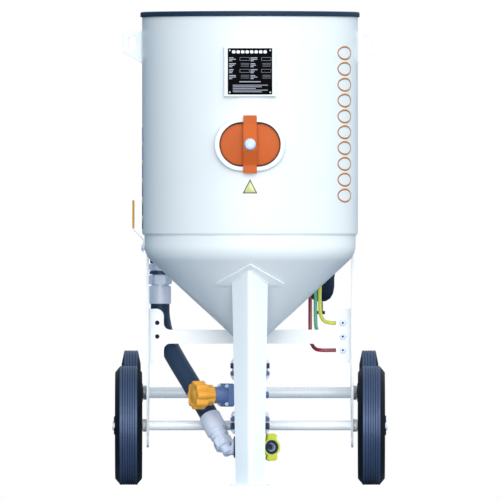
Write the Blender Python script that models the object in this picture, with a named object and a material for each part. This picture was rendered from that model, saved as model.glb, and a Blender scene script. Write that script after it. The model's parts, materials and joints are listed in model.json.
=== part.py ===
"""A wheeled abrasive blast pot of the 24-inch class, as an assembly of separate pieces.

Units are metres and +Z is up. The front faces -Y. The pieces are laid out round the vessel's upright
axis, and all hang from one empty which puts the middle of the whole machine over the origin.
"""

import math

import bmesh
import bpy
from mathutils import Vector

# Driving dimensions
GAP = 0.0003  # clearance between pieces that touch
VESSEL_STEPS = 48  # facets round each large vessel piece, the same on all so that they nest
VESSEL_Y = -0.086  # the vessel's axis, once the whole machine is centred
SHELL_R = 0.302
WALL = 0.006
SHELL_BOTTOM = 0.704
SHELL_TOP = 1.318
RIM_TOP = 1.325
HEAD_R = SHELL_R - WALL - 0.0005  # the heads slide into the shell
KNUCKLE_TOP = 0.672
KNUCKLE_R = 0.060
CONE_SLOPE = 1.085  # radius gained per height
OUTLET_R = 0.038
DISH_LOW = 1.100  # lowest point of the top head
CROWN_R = 0.560
FILL_R = 0.050
HANDWAY_Z = 0.953
CREASE_Y = -0.2600  # front fold of the leg
AXLE_Y, AXLE_Z = 0.125, 0.1666
REAR_AXLE_Y, REAR_AXLE_Z = 0.415, 0.2568
WHEEL_X = 0.3405
REAR_WHEEL_X = 0.335
REAR_WHEEL_R = 0.119
PLATE_X = 0.284  # inner face of each side plate
PLATE_T = 0.006
PANEL_Y = 0.150
PANEL_T = 0.005
PORT_X = 0.2604
PORT_HEIGHTS = (0.4544, 0.4160, 0.3777)
FLANGE_R = 0.055  # every flange of the outlet line
METER_Z = 0.2528
METER_AXIS = Vector((-0.914, -0.407, 0)).normalized()
TEE_Z = 0.107
HOSE_R = 0.0265
RISER_X, RISER_Y = -0.2526, 0.260  # upright line of the choke valve
VALVE_Z = 0.665
AIR_Z = 0.760
AIR_Y = 0.365
FILTER_X, FILTER_Y = 0.199, 0.325
FILTER_PORT_Z = 0.632  # height of the separator's two ports
TUBE_R = 0.0052

UP, FRONT, REAR, RIGHT = Vector((0, 0, 1)), Vector((0, -1, 0)), Vector((0, 1, 0)), Vector((1, 0, 0))


def clear_scene():
    for obj in list(bpy.data.objects):
        bpy.data.objects.remove(obj)


def material(name, colour, roughness, metallic=0.0):
    paint = bpy.data.materials.new(name)
    paint.use_nodes = True
    shader = paint.node_tree.nodes["Principled BSDF"]
    shader.inputs["Base Color"].default_value = (*colour, 1)
    shader.inputs["Roughness"].default_value = roughness
    shader.inputs["Metallic"].default_value = metallic
    return paint


clear_scene()
ASSEMBLY = bpy.data.objects.new("assembly", None)
ASSEMBLY.location = (0, VESSEL_Y, 0)
bpy.context.scene.collection.objects.link(ASSEMBLY)

WHITE = material("white_enamel", (0.86, 0.89, 0.90), 0.35)
BLACK = material("black_rubber", (0.02, 0.025, 0.035), 0.65)
TYRE = material("tyre_rubber", (0.03, 0.04, 0.06), 0.7)
ORANGE = material("orange_enamel", (0.75, 0.16, 0.04), 0.4)
AMBER = material("amber_plastic", (0.80, 0.38, 0.06), 0.45)
STEEL = material("zinc_steel", (0.72, 0.75, 0.80), 0.3, 1.0)
SLATE = material("slate_enamel", (0.12, 0.17, 0.32), 0.4)
IRON = material("black_iron", (0.03, 0.04, 0.06), 0.5)
LIME = material("lime_plastic", (0.68, 0.76, 0.06), 0.45)
YELLOW = material("yellow_tube", (0.82, 0.80, 0.12), 0.4)
GREEN = material("green_tube", (0.10, 0.50, 0.28), 0.4)
RED = material("red_tube", (0.40, 0.01, 0.04), 0.4)
PALE = material("fibre_gasket", (0.75, 0.80, 0.85), 0.7)


# Shared modelling steps


def add(name, mesh, paint, at=(0, 0, 0), along=UP):
    """One object, hung from the assembly, with its own +Z turned along a direction and its +Y kept up."""
    if isinstance(mesh, bmesh.types.BMesh):
        bmesh.ops.recalc_face_normals(mesh, faces=mesh.faces)
        work, mesh = mesh, bpy.data.meshes.new(name)
        work.to_mesh(mesh)
        work.free()
    obj = bpy.data.objects.new(name, mesh)
    bpy.context.scene.collection.objects.link(obj)
    obj.parent = ASSEMBLY
    obj.location = at
    obj.rotation_mode = "QUATERNION"
    if Vector(along) != UP:
        obj.rotation_quaternion = Vector(along).to_track_quat("Z", "Y")
    obj.data.materials.append(paint)
    if obj.type == "MESH":
        obj.data.shade_smooth()
        obj.data.set_sharp_from_angle(angle=math.radians(32))
    return obj


def turned(profile, steps=20):
    """A profile of (radius, height) points turned about +Z. It is closed or has both ends on the axis."""
    bm = bmesh.new()
    points = [bm.verts.new((radius, 0, height)) for radius, height in profile]
    edges = [bm.edges.new(pair) for pair in zip(points, points[1:])]
    if profile[0][0] > 0:
        edges.append(bm.edges.new((points[-1], points[0])))
    bmesh.ops.spin(
        bm, geom=points + edges, axis=UP, cent=(0, 0, 0), angle=2 * math.pi, steps=steps, use_merge=True
    )
    bmesh.ops.remove_doubles(bm, verts=bm.verts, dist=1e-6)
    return bm


def ring(inner, outer, low, high, steps=20):
    if inner:
        return turned([(outer, low), (outer, high), (inner, high), (inner, low)], steps)
    return turned([(0, low), (outer, low), (outer, high), (0, high)], steps)


def prism(outline, depth, start=0.0):
    """A flat outline extruded along +Z."""
    bm = bmesh.new()
    face = bm.faces.new([bm.verts.new((x, y, start)) for x, y in outline])
    grown = bmesh.ops.extrude_face_region(bm, geom=[face])
    top = [item for item in grown["geom"] if isinstance(item, bmesh.types.BMVert)]
    bmesh.ops.translate(bm, verts=top, vec=(0, 0, depth))
    return bm


def block(low, high):
    corners = ((low[0], low[1]), (high[0], low[1]), (high[0], high[1]), (low[0], high[1]))
    return prism(corners, high[2] - low[2], low[2])


def rounded(corners, steps=4):
    """The outline through (x, y, radius) corners, each rounded by an arc where its radius isn't 0."""
    outline = []
    for index, (x, y, radius) in enumerate(corners):
        here = Vector((x, y))
        if not radius:
            outline.append(here)
            continue
        back = (Vector(corners[index - 1][:2]) - here).normalized()
        ahead = (Vector(corners[(index + 1) % len(corners)][:2]) - here).normalized()
        half = back.angle(ahead) / 2
        centre = here + (back + ahead).normalized() * radius / math.sin(half)
        start = here + back * radius / math.tan(half) - centre
        end = here + ahead * radius / math.tan(half) - centre
        outline += [centre + radius * start.slerp(end, step / steps) for step in range(steps + 1)]
    return outline


def obround(width, height, steps=10):
    """A round-ended slot shape, wider than it is high."""
    radius = height / 2
    reach = width / 2 - radius
    points = []
    for side in (1, -1):
        for step in range(steps + 1):
            angle = math.pi * (step / steps - 0.5)
            points.append((side * (reach + radius * math.cos(angle)), side * radius * math.sin(angle)))
    return points


def boolean(target, operation, tools):
    for tool in tools:
        tool.hide_render = True
        tool.display_type = "WIRE"
        change = target.modifiers.new(tool.name, "BOOLEAN")
        change.operation = operation
        change.object = tool
    return target


def cut(target, *tools):
    return boolean(target, "DIFFERENCE", tools)


def join(target, *tools):
    return boolean(target, "UNION", tools)


def keep_inside(target, *tools):
    return boolean(target, "INTERSECT", tools)


def bent(corners, radius, steps=5):
    """The line through 3-D corners, with each inner corner turned into an arc."""
    corners = [Vector(corner) for corner in corners]
    line = [corners[0]]
    for before, here, after in zip(corners, corners[1:], corners[2:]):
        back, ahead = (before - here).normalized(), (after - here).normalized()
        half = back.angle(ahead) / 2
        centre = here + (back + ahead).normalized() * radius / math.sin(half)
        start = here + back * radius / math.tan(half) - centre
        end = here + ahead * radius / math.tan(half) - centre
        line += [centre + radius * start.slerp(end, step / steps) for step in range(steps + 1)]
    return line + [corners[-1]]


def smooth_route(knots, spacing):
    """Points about one spacing apart on a smooth curve through the knots."""
    knots = [Vector(knot) for knot in knots]
    ends = [2 * knots[0] - knots[1], *knots, 2 * knots[-1] - knots[-2]]
    line = []
    for before, start, end, after in zip(ends, ends[1:], ends[2:], ends[3:]):
        count = max(1, round((end - start).length / spacing))
        for step in range(count):
            t = step / count
            line.append(
                0.5 * (2 * start + t * (end - before) + t * t * (2 * before - 5 * start + 4 * end - after)
                       + t ** 3 * (3 * start - before - 3 * end + after))
            )
    return line + [knots[-1]]


def tube(name, line, radius, paint, resolution=3):
    """A round bar along a line of points, with closed ends."""
    curve = bpy.data.curves.new(name, "CURVE")
    curve.dimensions = "3D"
    curve.bevel_depth = radius
    curve.bevel_resolution = resolution
    curve.use_fill_caps = True
    spline = curve.splines.new("POLY")
    spline.points.add(len(line) - 1)
    for point, place in zip(spline.points, line):
        point.co = (*place, 1)
    spline.use_smooth = True
    return add(name, curve, paint)


def pipe(name, line, radius, paint, resolution=3):
    """The same bar as a mesh, which a Boolean can cut."""
    bar = tube(name, line, radius, paint, resolution)
    bm = bmesh.new()
    bm.from_mesh(bpy.data.meshes.new_from_object(bar))
    bmesh.ops.remove_doubles(bm, verts=bm.verts, dist=1e-6)
    bpy.data.objects.remove(bar)
    return add(name, bm, paint)


# Vessel


def cone_radius(height, offset=0.0):
    """Radius of the cone's outer face at a height, or of a face that lies further out by offset."""
    lean = math.hypot(1, CONE_SLOPE)
    turn = math.atan(CONE_SLOPE)
    radius = HEAD_R - KNUCKLE_R * (1 - math.cos(turn))
    knuckle_end = KNUCKLE_TOP - KNUCKLE_R * math.sin(turn)
    return radius - CONE_SLOPE * (knuckle_end - height) + offset * lean


def cone_height(radius, offset=0.0):
    return (radius - cone_radius(0, offset)) / CONE_SLOPE


def head_arc(offset, steps=3):
    """The knuckle between the head's straight flange and its cone, from the top down."""
    turn = math.atan(CONE_SLOPE)
    radius = KNUCKLE_R + offset
    arc = []
    for step in range(steps + 1):
        angle = turn * step / steps
        arc.append((HEAD_R - KNUCKLE_R + radius * math.cos(angle), KNUCKLE_TOP - radius * math.sin(angle)))
    return arc


def make_shell():
    shell = add("vessel_shell", ring(SHELL_R - WALL, SHELL_R, SHELL_BOTTOM, SHELL_TOP, VESSEL_STEPS), WHITE)
    slot = prism(obround(0.196 + 2 * GAP, 0.147 + 2 * GAP), 0.2, 0.2)
    handway = add("handway_cutter", slot, WHITE, at=(0, 0, HANDWAY_Z), along=FRONT)
    socket = add("socket_cutter", ring(0, 0.0172, 0.25, 0.35, 16), WHITE, at=(0, 0, AIR_Z), along=REAR)
    cut(shell, handway, socket)


def make_bottom_head():
    flange_top = 0.738
    end_r = 0.044
    end_z = cone_height(end_r)
    bore = OUTLET_R + GAP
    outer = [(HEAD_R, flange_top), *head_arc(0), (end_r, end_z)]
    inner = [(bore, end_z), (bore, cone_height(bore, -WALL)), *reversed(head_arc(-WALL))]
    add("bottom_head", turned([*outer, *inner, (HEAD_R - WALL, flange_top)], VESSEL_STEPS), WHITE)


def dish_line(offset, steps=2):
    """The top head's face from the fill hole out to its flange, offset outward from its convex lower face."""
    knuckle = 0.040
    crown_z = DISH_LOW + CROWN_R
    centre_r = HEAD_R - knuckle
    turn = math.asin(centre_r / (CROWN_R - knuckle))
    centre_z = crown_z - (CROWN_R - knuckle) * math.cos(turn)
    first = math.asin(FILL_R / (CROWN_R + offset))
    crown = [first + (turn - first) * step / steps for step in range(steps + 1)]
    line = [((CROWN_R + offset) * math.sin(a), crown_z - (CROWN_R + offset) * math.cos(a)) for a in crown]
    for step in range(1, steps + 1):
        angle = turn + (math.pi / 2 - turn) * step / steps
        radius = knuckle + offset
        line.append((centre_r + radius * math.sin(angle), centre_z - radius * math.cos(angle)))
    return line


def make_top_head():
    flange_top = 1.225
    lower, upper = dish_line(0), dish_line(-WALL)
    profile = [*lower, (lower[-1][0], flange_top), (upper[-1][0], flange_top), *reversed(upper)]
    add("top_head", turned(profile, VESSEL_STEPS), WHITE)


def make_rim_trim():
    outer, inner = SHELL_R + 0.005, SHELL_R - WALL - 0.005
    groove_top = SHELL_TOP + GAP
    low = RIM_TOP - 0.0143
    profile = [
        (outer, low),
        (outer, RIM_TOP),
        (inner, RIM_TOP),
        (inner, low),
        (SHELL_R - WALL - GAP * 2, low),
        (SHELL_R - WALL - GAP * 2, groove_top),
        (SHELL_R + GAP, groove_top),
        (SHELL_R + GAP, low),
    ]
    add("rim_trim", turned(profile, VESSEL_STEPS), BLACK)


def make_lug(name, side):
    """A lifting lug: a flat plate with a round-ended slot, welded edge-on to the shell."""
    inner, outer, thickness = SHELL_R + GAP, 0.3556, 0.010
    corners = [(inner, 1.182, 0), (outer, 1.213, 0.006), (outer, 1.272, 0.014), (inner, 1.272, 0)]
    plate = prism([(side * x, z) for x, z in rounded(corners)], thickness, -thickness / 2)
    slot_corners = ((0.317, 1.2195), (0.341, 1.2195), (0.341, 1.260), (0.317, 1.260))
    slot = rounded([(x, z, 0.0118) for x, z in slot_corners])
    hole = prism([(side * x, z) for x, z in slot], 0.03, -0.015)
    lug = add(name, plate, WHITE, along=FRONT)
    cut(lug, add(name + "_slot", hole, WHITE, along=FRONT))


def make_popup():
    """The fill hole's rubber seat, the mushroom that closes it, and the air pipe that guides the stem."""
    seat = [(0.0497, 1.0955), (0.0497, 1.112), (0.040, 1.112), (0.038, 1.108), (0.046, 1.0955)]
    add("popup_seat", turned(seat), BLACK)
    plug = [
        (0, 0.920),
        (0.008, 0.920),
        (0.008, 1.044),
        (0.040, 1.044),
        (0.0455, 1.048),
        (0.0455, 1.0655),
        (0.012, 1.0835),
        (0, 1.086),
    ]
    add("popup_valve", turned(plug), BLACK)
    route = bent([(0, SHELL_R + 0.008, AIR_Z), (0, 0, AIR_Z), (0, 0, 1.040)], 0.045)
    air_pipe = pipe("popup_pipe", route, 0.01685, STEEL)
    cut(air_pipe, add("popup_bore", ring(0, 0.0105, 0.905, 1.06, 16), STEEL))


# Handway


def make_handway():
    centre = (0, 0, HANDWAY_Z)
    face = 0.318  # the ring's front face, in front of the vessel's axis
    body = add("handway_ring", prism(obround(0.196, 0.147), 0.050, face - 0.050), WHITE, centre, FRONT)
    cut(body, add("handway_hole", prism(obround(0.171, 0.124), 0.1, face - 0.08), WHITE, centre, FRONT))

    seal = prism(obround(0.1704, 0.1234), 0.048, face - 0.050)
    gasket = add("handway_gasket", seal, BLACK, centre, FRONT)
    hole = prism(obround(0.168 + 2 * GAP, 0.118 + 2 * GAP), 0.1, face - 0.08)
    cut(gasket, add("gasket_hole", hole, BLACK, centre, FRONT))

    cover = add("handway_cover", prism(obround(0.168, 0.118), 0.049, face - 0.055), ORANGE, centre, FRONT)
    flange = add("cover_flange", prism(obround(0.186, 0.137), 0.008, face - 0.0583), ORANGE, centre, FRONT)
    stud = add("cover_stud", ring(0, 0.008, face - 0.02, 0.362, 16), ORANGE, centre, FRONT)
    join(cover, flange, stud)

    bar_width = 0.038
    underside = [(-0.081, GAP), (-0.054, GAP), (-0.034, 0.014), (0.034, 0.014), (0.054, GAP), (0.081, GAP)]
    top = [(0.081, 0.010), (0.058, 0.010), (0.017, 0.027), (-0.017, 0.027), (-0.058, 0.010), (-0.081, 0.010)]
    arch = prism([(-(face + rise), height) for height, rise in underside + top], bar_width, -bar_width / 2)
    crossbar = add("handway_crossbar", arch, ORANGE, centre, RIGHT)
    cut(crossbar, add("crossbar_hole", ring(0, 0.009, 0.3, 0.4, 16), ORANGE, centre, FRONT))

    low = face + 0.027 + GAP
    nut = add("handway_nut", ring(0, 0.0165, low, low + 0.003, 20), STEEL, centre, FRONT)
    join(nut, add("nut_hexagon", ring(0, 0.0139, low + 0.001, low + 0.0145, 6), STEEL, centre, FRONT))
    cut(nut, add("nut_bore", ring(0, 0.0083, 0.3, 0.4, 16), STEEL, centre, FRONT))


def make_data_plate():
    half, low, high, front, sheet = 0.073, 1.087, 1.224, 0.3125, 0.002
    back = math.sqrt(SHELL_R ** 2 - half ** 2) + 0.0010
    channel = [
        (-half, back),
        (-half, front),
        (half, front),
        (half, back),
        (half - sheet, back + 0.0006),
        (half - sheet, front - sheet),
        (sheet - half, front - sheet),
        (sheet - half, back + 0.0006),
    ]
    add("data_plate_bracket", prism([(x, -y) for x, y in channel], high - low, low), WHITE)
    plate_low = (-0.062, -(front + GAP + 0.001), 1.092)
    add("data_plate", block(plate_low, (0.062, -(front + GAP), 1.221)), BLACK)


# Leg and frame


def leg_section(bm, half_width, height):
    """One ring of the folded leg: two wings at 45 degrees from a rounded crease."""
    sheet = 0.005
    end = sheet / math.sqrt(2)
    crease = (0, CREASE_Y, 0.012)
    wings = [
        (half_width, CREASE_Y + half_width, 0),
        (half_width - end, CREASE_Y + half_width + end, 0),
        (0, CREASE_Y + 2 * end, 0.007),
        (end - half_width, CREASE_Y + half_width + end, 0),
        (-half_width, CREASE_Y + half_width, 0),
    ]
    return [bm.verts.new((x, y, height)) for x, y in rounded([crease, *wings])]


def make_leg():
    sheet = 0.0053
    bm = bmesh.new()
    bottom = leg_section(bm, 0.040, sheet - 0.001)
    top = leg_section(bm, 0.0515, 0.640)
    bm.faces.new(bottom)
    bm.faces.new(top)
    for index in range(len(bottom)):
        bm.faces.new((bottom[index - 1], bottom[index], top[index], top[index - 1]))
    leg = add("front_leg", bm, WHITE)
    pad = 0.004 + 3 * GAP
    low, high = 0.45, 0.66
    cone = [(0, low), (cone_radius(low, pad), low), (cone_radius(high, pad), high), (0, high)]
    cut(leg, add("cone_cutter", turned(cone, VESSEL_STEPS), WHITE))
    foot = block((-0.057, CREASE_Y - 0.012, 0), (0.057, CREASE_Y + 0.062, sheet))
    join(leg, add("foot_plate", foot, WHITE))


def make_leg_pad():
    low, high = 0.52, 0.63
    profile = []
    for offset, line in ((2 * GAP, (low, high)), (0.004, (high, low))):
        profile += [(cone_radius(height, offset), height) for height in line]
    pad = add("leg_pad", turned(profile, VESSEL_STEPS), WHITE)
    chevron = [(0, 0.619), (0.094, 0.5645), (0.090, 0.5585), (-0.090, 0.5585), (-0.094, 0.5645)]
    keep_inside(pad, add("pad_outline", prism(chevron, 0.4, 0.05), WHITE, along=FRONT))


def make_side_plate(name, side):
    corners = [
        (0.088, 0.700, 0),
        (0.088, 0.300, 0.05),
        (0.097, 0.105, 0.02),
        (0.165, 0.105, 0.03),
        (REAR_AXLE_Y + 0.02, REAR_AXLE_Z - 0.046, 0.035),
        (REAR_AXLE_Y + 0.055, REAR_AXLE_Z + 0.010, 0.035),
        (REAR_AXLE_Y, REAR_AXLE_Z + 0.050, 0.035),
        (0.205, 0.500, 0.06),
        (0.190, 0.700, 0),
    ]
    start = PLATE_X if side > 0 else -PLATE_X - PLATE_T
    plate = add(name, prism(rounded(corners), PLATE_T, start), WHITE, along=RIGHT)
    holes = []
    for label, (y, z, radius) in {
        "main": (AXLE_Y, AXLE_Z, 0.0135),
        "rear": (REAR_AXLE_Y, REAR_AXLE_Z, 0.0155),
    }.items():
        hole = ring(0, radius + GAP, side * PLATE_X - 0.02, side * PLATE_X + 0.02, 20)
        holes.append(add(f"{name}_{label}_hole", hole, WHITE, at=(0, y, z), along=RIGHT))
    cut(plate, *holes)


def make_control_panel():
    """A strip between the side plates, with a taller bracket at each end which holds three fittings."""
    end, inner = PLATE_X - GAP, 0.242
    quarter = [(end, 0.494, 0), (inner, 0.494, 0.021), (inner, 0.435, 0.018)]
    lower = [(inner, 0.396, 0.018), (inner, 0.340, 0.021), (end, 0.340, 0)]
    mirrored = [(-x, z, r) for x, z, r in reversed(lower)], [(-x, z, r) for x, z, r in reversed(quarter)]
    corners = [*quarter, *mirrored[1], *mirrored[0], *lower]
    depth = prism(rounded(corners), PANEL_T, -PANEL_Y - PANEL_T)
    panel = add("control_panel", depth, WHITE, along=FRONT)
    holes = []
    for side in (-1, 1):
        for index, height in enumerate(PORT_HEIGHTS):
            hole = ring(0, 0.0064, -0.2, -0.1, 12)
            place = (side * PORT_X, 0, height)
            holes.append(add(f"port_{'lr'[side > 0]}{index}", hole, WHITE, at=place, along=FRONT))
    cut(panel, *holes)


def make_axle(name, radius, collar, half_length, y, z):
    """A bar across both side plates, with a collar between each plate and its wheel."""
    plate_face, wheel_face = PLATE_X + PLATE_T + GAP, 0.3010
    line = [(0, half_length), (radius, half_length), (radius, wheel_face)]
    line += [(collar, wheel_face), (collar, plate_face), (radius, plate_face)]
    profile = [(r, -x) for r, x in line] + [(r, x) for r, x in reversed(line)]
    add(name, turned(profile, 16), WHITE, (0, y, z), RIGHT)


def make_axles():
    make_axle("main_axle", 0.0135, 0.0175, 0.386, AXLE_Y, AXLE_Z)
    make_axle("rear_axle", 0.0155, 0.020, 0.3695, REAR_AXLE_Y, REAR_AXLE_Z)


def make_main_wheel(label, side):
    """A solid tyre with chamfered shoulders on a moulded hub. Both turn on the main axle."""
    place = (side * WHEEL_X, AXLE_Y, AXLE_Z)
    half, tread, shoulder, bore = 0.0378, 0.0252, 0.1490, 0.0600
    tyre = [
        (bore, -half),
        (shoulder, -half),
        (AXLE_Z, -tread),
        (AXLE_Z, tread),
        (shoulder, half),
        (bore, half),
    ]
    add(f"main_tyre_{label}", turned(tyre, 36), TYRE, place, RIGHT)
    web, boss, hub_bore = 0.030, 0.0415, 0.0139
    hub = [
        (hub_bore, -side * 0.0385),
        (0.030, -side * 0.0385),
        (0.030, -side * web),
        (bore - GAP, -side * web),
        (bore - GAP, side * web),
        (0.030, side * web),
        (0.030, side * boss),
        (hub_bore, side * boss),
    ]
    add(f"main_hub_{label}", turned(hub, 20), BLACK, place, RIGHT)


def make_rear_wheel(label, side):
    place = (side * REAR_WHEEL_X, REAR_AXLE_Y, REAR_AXLE_Z)
    half, tread, bore, hub_half = 0.027, 0.0194, 0.0158, 0.033
    wheel = [
        (bore, -hub_half),
        (0.026, -hub_half),
        (0.030, -half),
        (0.081, -half),
        (REAR_WHEEL_R, -tread),
        (REAR_WHEEL_R, tread),
        (0.081, half),
        (0.030, half),
        (0.026, hub_half),
        (bore, hub_half),
    ]
    add(f"rear_wheel_{label}", turned(wheel, 24), TYRE, place, RIGHT)


def make_push_handle():
    reach, height = 0.200, 1.050
    corners = [(-reach, 0.20, height), (-reach, 0.405, height), (reach, 0.405, height), (reach, 0.20, height)]
    handle = pipe("push_handle", bent(corners, 0.060), 0.016, WHITE)
    cut(handle, add("shell_cutter", ring(0, SHELL_R + GAP, height - 0.1, height + 0.1, VESSEL_STEPS), WHITE))


# Outlet line


def make_outlet_line():
    spigot = [
        (OUTLET_R, 0.415),
        (OUTLET_R, 0.352),
        (0.0435, 0.345),
        (0.0435, 0.342),
        (FLANGE_R, 0.342),
        (FLANGE_R, 0.327),
        (0.030, 0.327),
        (0.030, 0.415),
    ]
    add("outlet_pipe", turned(spigot), IRON)
    add("upper_gasket", ring(0.030, 0.050, 0.322 + GAP, 0.327 - GAP), PALE)
    body = [
        (0.030, 0.322),
        (0.050, 0.322),
        (FLANGE_R, 0.317),
        (FLANGE_R, 0.308),
        (0.0435, 0.308),
        (0.042, 0.300),
        (0.042, 0.2015),
        (0.0435, 0.1935),
        (0.050, 0.1935),
        (FLANGE_R, 0.1885),
        (FLANGE_R, 0.1793),
        (0.030, 0.1793),
        (0.0125, 0.222),
        (0.0125, 0.284),
    ]
    valve = add("metering_body", turned(body), SLATE)
    place = (0, 0, METER_Z)
    neck = add("meter_neck", ring(0, 0.029, 0.020, 0.065, 20), SLATE, place, METER_AXIS)
    half = 0.0325
    square = rounded([(-half, -half, 0.008), (half, -half, 0.008), (half, half, 0.008), (-half, half, 0.008)])
    pad = add("meter_pad", prism(square, 0.0085, 0.062), SLATE, place, METER_AXIS)
    end_plug = add("meter_plug", ring(0, 0.011, 0.036, 0.054, 6), SLATE, place, -METER_AXIS)
    join(valve, neck, pad, end_plug)
    cut(valve, add("gate_bore", ring(0, 0.0146, -0.022, 0.09, 20), SLATE, place, METER_AXIS))

    bonnet = add("metering_bonnet", prism(square, 0.009, 0.0708), SLATE, place, METER_AXIS)
    join(bonnet, add("bonnet_neck", ring(0, 0.0235, 0.075, 0.1150, 20), SLATE, place, METER_AXIS))
    cut(bonnet, add("spindle_bore", ring(0, 0.0063, 0.05, 0.14, 16), SLATE, place, METER_AXIS))
    plunger = [(0, -0.014), (0.014, -0.014), (0.014, 0.030), (0.0068, 0.030), (0.0068, -0.010), (0, -0.010)]
    add("metering_plunger", turned(plunger, 20), STEEL, place, METER_AXIS)
    add("lower_gasket", ring(0.030, 0.050, 0.1747 + GAP, 0.1793 - GAP), PALE)


def lobed(radius, lobes, depth, steps):
    """An outline whose radius falls by depth between its lobes."""
    outline = []
    for step in range(steps):
        angle = 2 * math.pi * step / steps
        reach = radius - depth * (1 - math.cos(lobes * angle)) / 2
        outline.append((reach * math.cos(angle), reach * math.sin(angle)))
    return outline


def make_metering_knob():
    place = (0, 0, METER_Z)
    knob = add("metering_knob", prism(lobed(0.040, 6, 0.008, 36), 0.0355, 0.140), AMBER, place, METER_AXIS)
    neck = add("knob_neck", prism(lobed(0.029, 6, 0.004, 36), 0.030, 0.1155), AMBER, place, METER_AXIS)
    spindle = add("knob_spindle", ring(0, 0.0060, 0.0150, 0.13, 16), AMBER, place, METER_AXIS)
    join(knob, neck, spindle)


LOWER_BEND = Vector((-0.0645, 0, 0.098))  # where the pusher line's elbow turns up towards the hose
HOSE_AXIS = Vector((-0.398, 0.500, 0.771)).normalized()


def make_tee():
    left, right = -0.0456, 0.0250
    run = [(0, left), (0.0305, left), (0.0305, left + 0.010), (0.026, left + 0.012), (0.026, right - 0.012)]
    run += [(0.0305, right - 0.010), (0.0305, right), (0, right)]
    tee = add("pusher_tee", turned(run), IRON, at=(0, 0, TEE_Z), along=RIGHT)
    flange = [(0, TEE_Z), (0.0245, TEE_Z), (0.0245, 0.146), (0.0435, 0.1568)]
    flange += [(FLANGE_R, 0.1568), (FLANGE_R, 0.1747), (0, 0.1747)]
    join(tee, add("tee_flange", turned(flange), IRON))
    drop = add("tee_drop", ring(0, 0.0145, TEE_Z, 0.19, 20), IRON)
    through = add("tee_run", ring(0, 0.0145, -0.06, 0.06, 20), IRON, at=(0, 0, TEE_Z), along=RIGHT)
    cut(tee, drop, through)


def make_pusher_line():
    elbow = add("lower_elbow", ring(0, 0.0150, -0.0120, 0.0117, 16), STEEL, LOWER_BEND, HOSE_AXIS)
    arm = ring(0, 0.0140, LOWER_BEND.x, -0.0456 - GAP, 16)
    join(elbow, add("elbow_arm", arm, STEEL, at=(0, 0, 0.0985), along=RIGHT))

    bore = 0.0125
    fitting = [
        (0, 0.0360),
        (0.020, 0.0360),
        (0.020, 0.0460),
        (0.024, 0.0460),
        (0.024, 0.0655),
        (0.0305, 0.0665),
        (0.0305, 0.1230),
        (0, 0.1230),
    ]
    lower = add("lower_hose_fitting", turned(fitting, 20), STEEL, LOWER_BEND, HOSE_AXIS)
    join(lower, add("lower_hexagon", ring(0, 0.0280, 0.0120, 0.0380, 6), STEEL, LOWER_BEND, HOSE_AXIS))
    cut(lower, add("lower_bore", ring(0, bore, 0, 0.2, 12), STEEL, LOWER_BEND, HOSE_AXIS))

    knots = [
        LOWER_BEND + HOSE_AXIS * 0.1233,
        LOWER_BEND + HOSE_AXIS * 0.1430,
        (-0.146, 0.099, 0.250),
        (-0.172, 0.134, 0.294),
        (-0.202, 0.176, 0.343),
        (-0.229, 0.219, 0.392),
        (-0.2435, 0.245, 0.430),
        (-0.2505, 0.2570, 0.464),
        (RISER_X, RISER_Y, 0.4850),
        (RISER_X, RISER_Y, 0.5073),
    ]
    tube("pusher_hose", smooth_route(knots, 0.030), HOSE_R, BLACK, resolution=4)

    upper = [
        (0, 0.5076),
        (0.0305, 0.5076),
        (0.0305, 0.5570),
        (0.024, 0.5590),
        (0.024, 0.5886),
        (0.022, 0.5886),
        (0.022, 0.5905),
        (0.030, 0.5905),
        (0.030, 0.6340),
        (0, 0.6340),
    ]
    nipple = add("upper_hose_fitting", turned(upper, 20), STEEL, at=(RISER_X, RISER_Y, 0))
    join(nipple, add("upper_hexagon", ring(0, 0.033, 0.562, 0.5886, 6), STEEL, at=(RISER_X, RISER_Y, 0)))
    cut(nipple, add("upper_bore", ring(0, bore, 0.5, 0.65, 12), STEEL, at=(RISER_X, RISER_Y, 0)))


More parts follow.
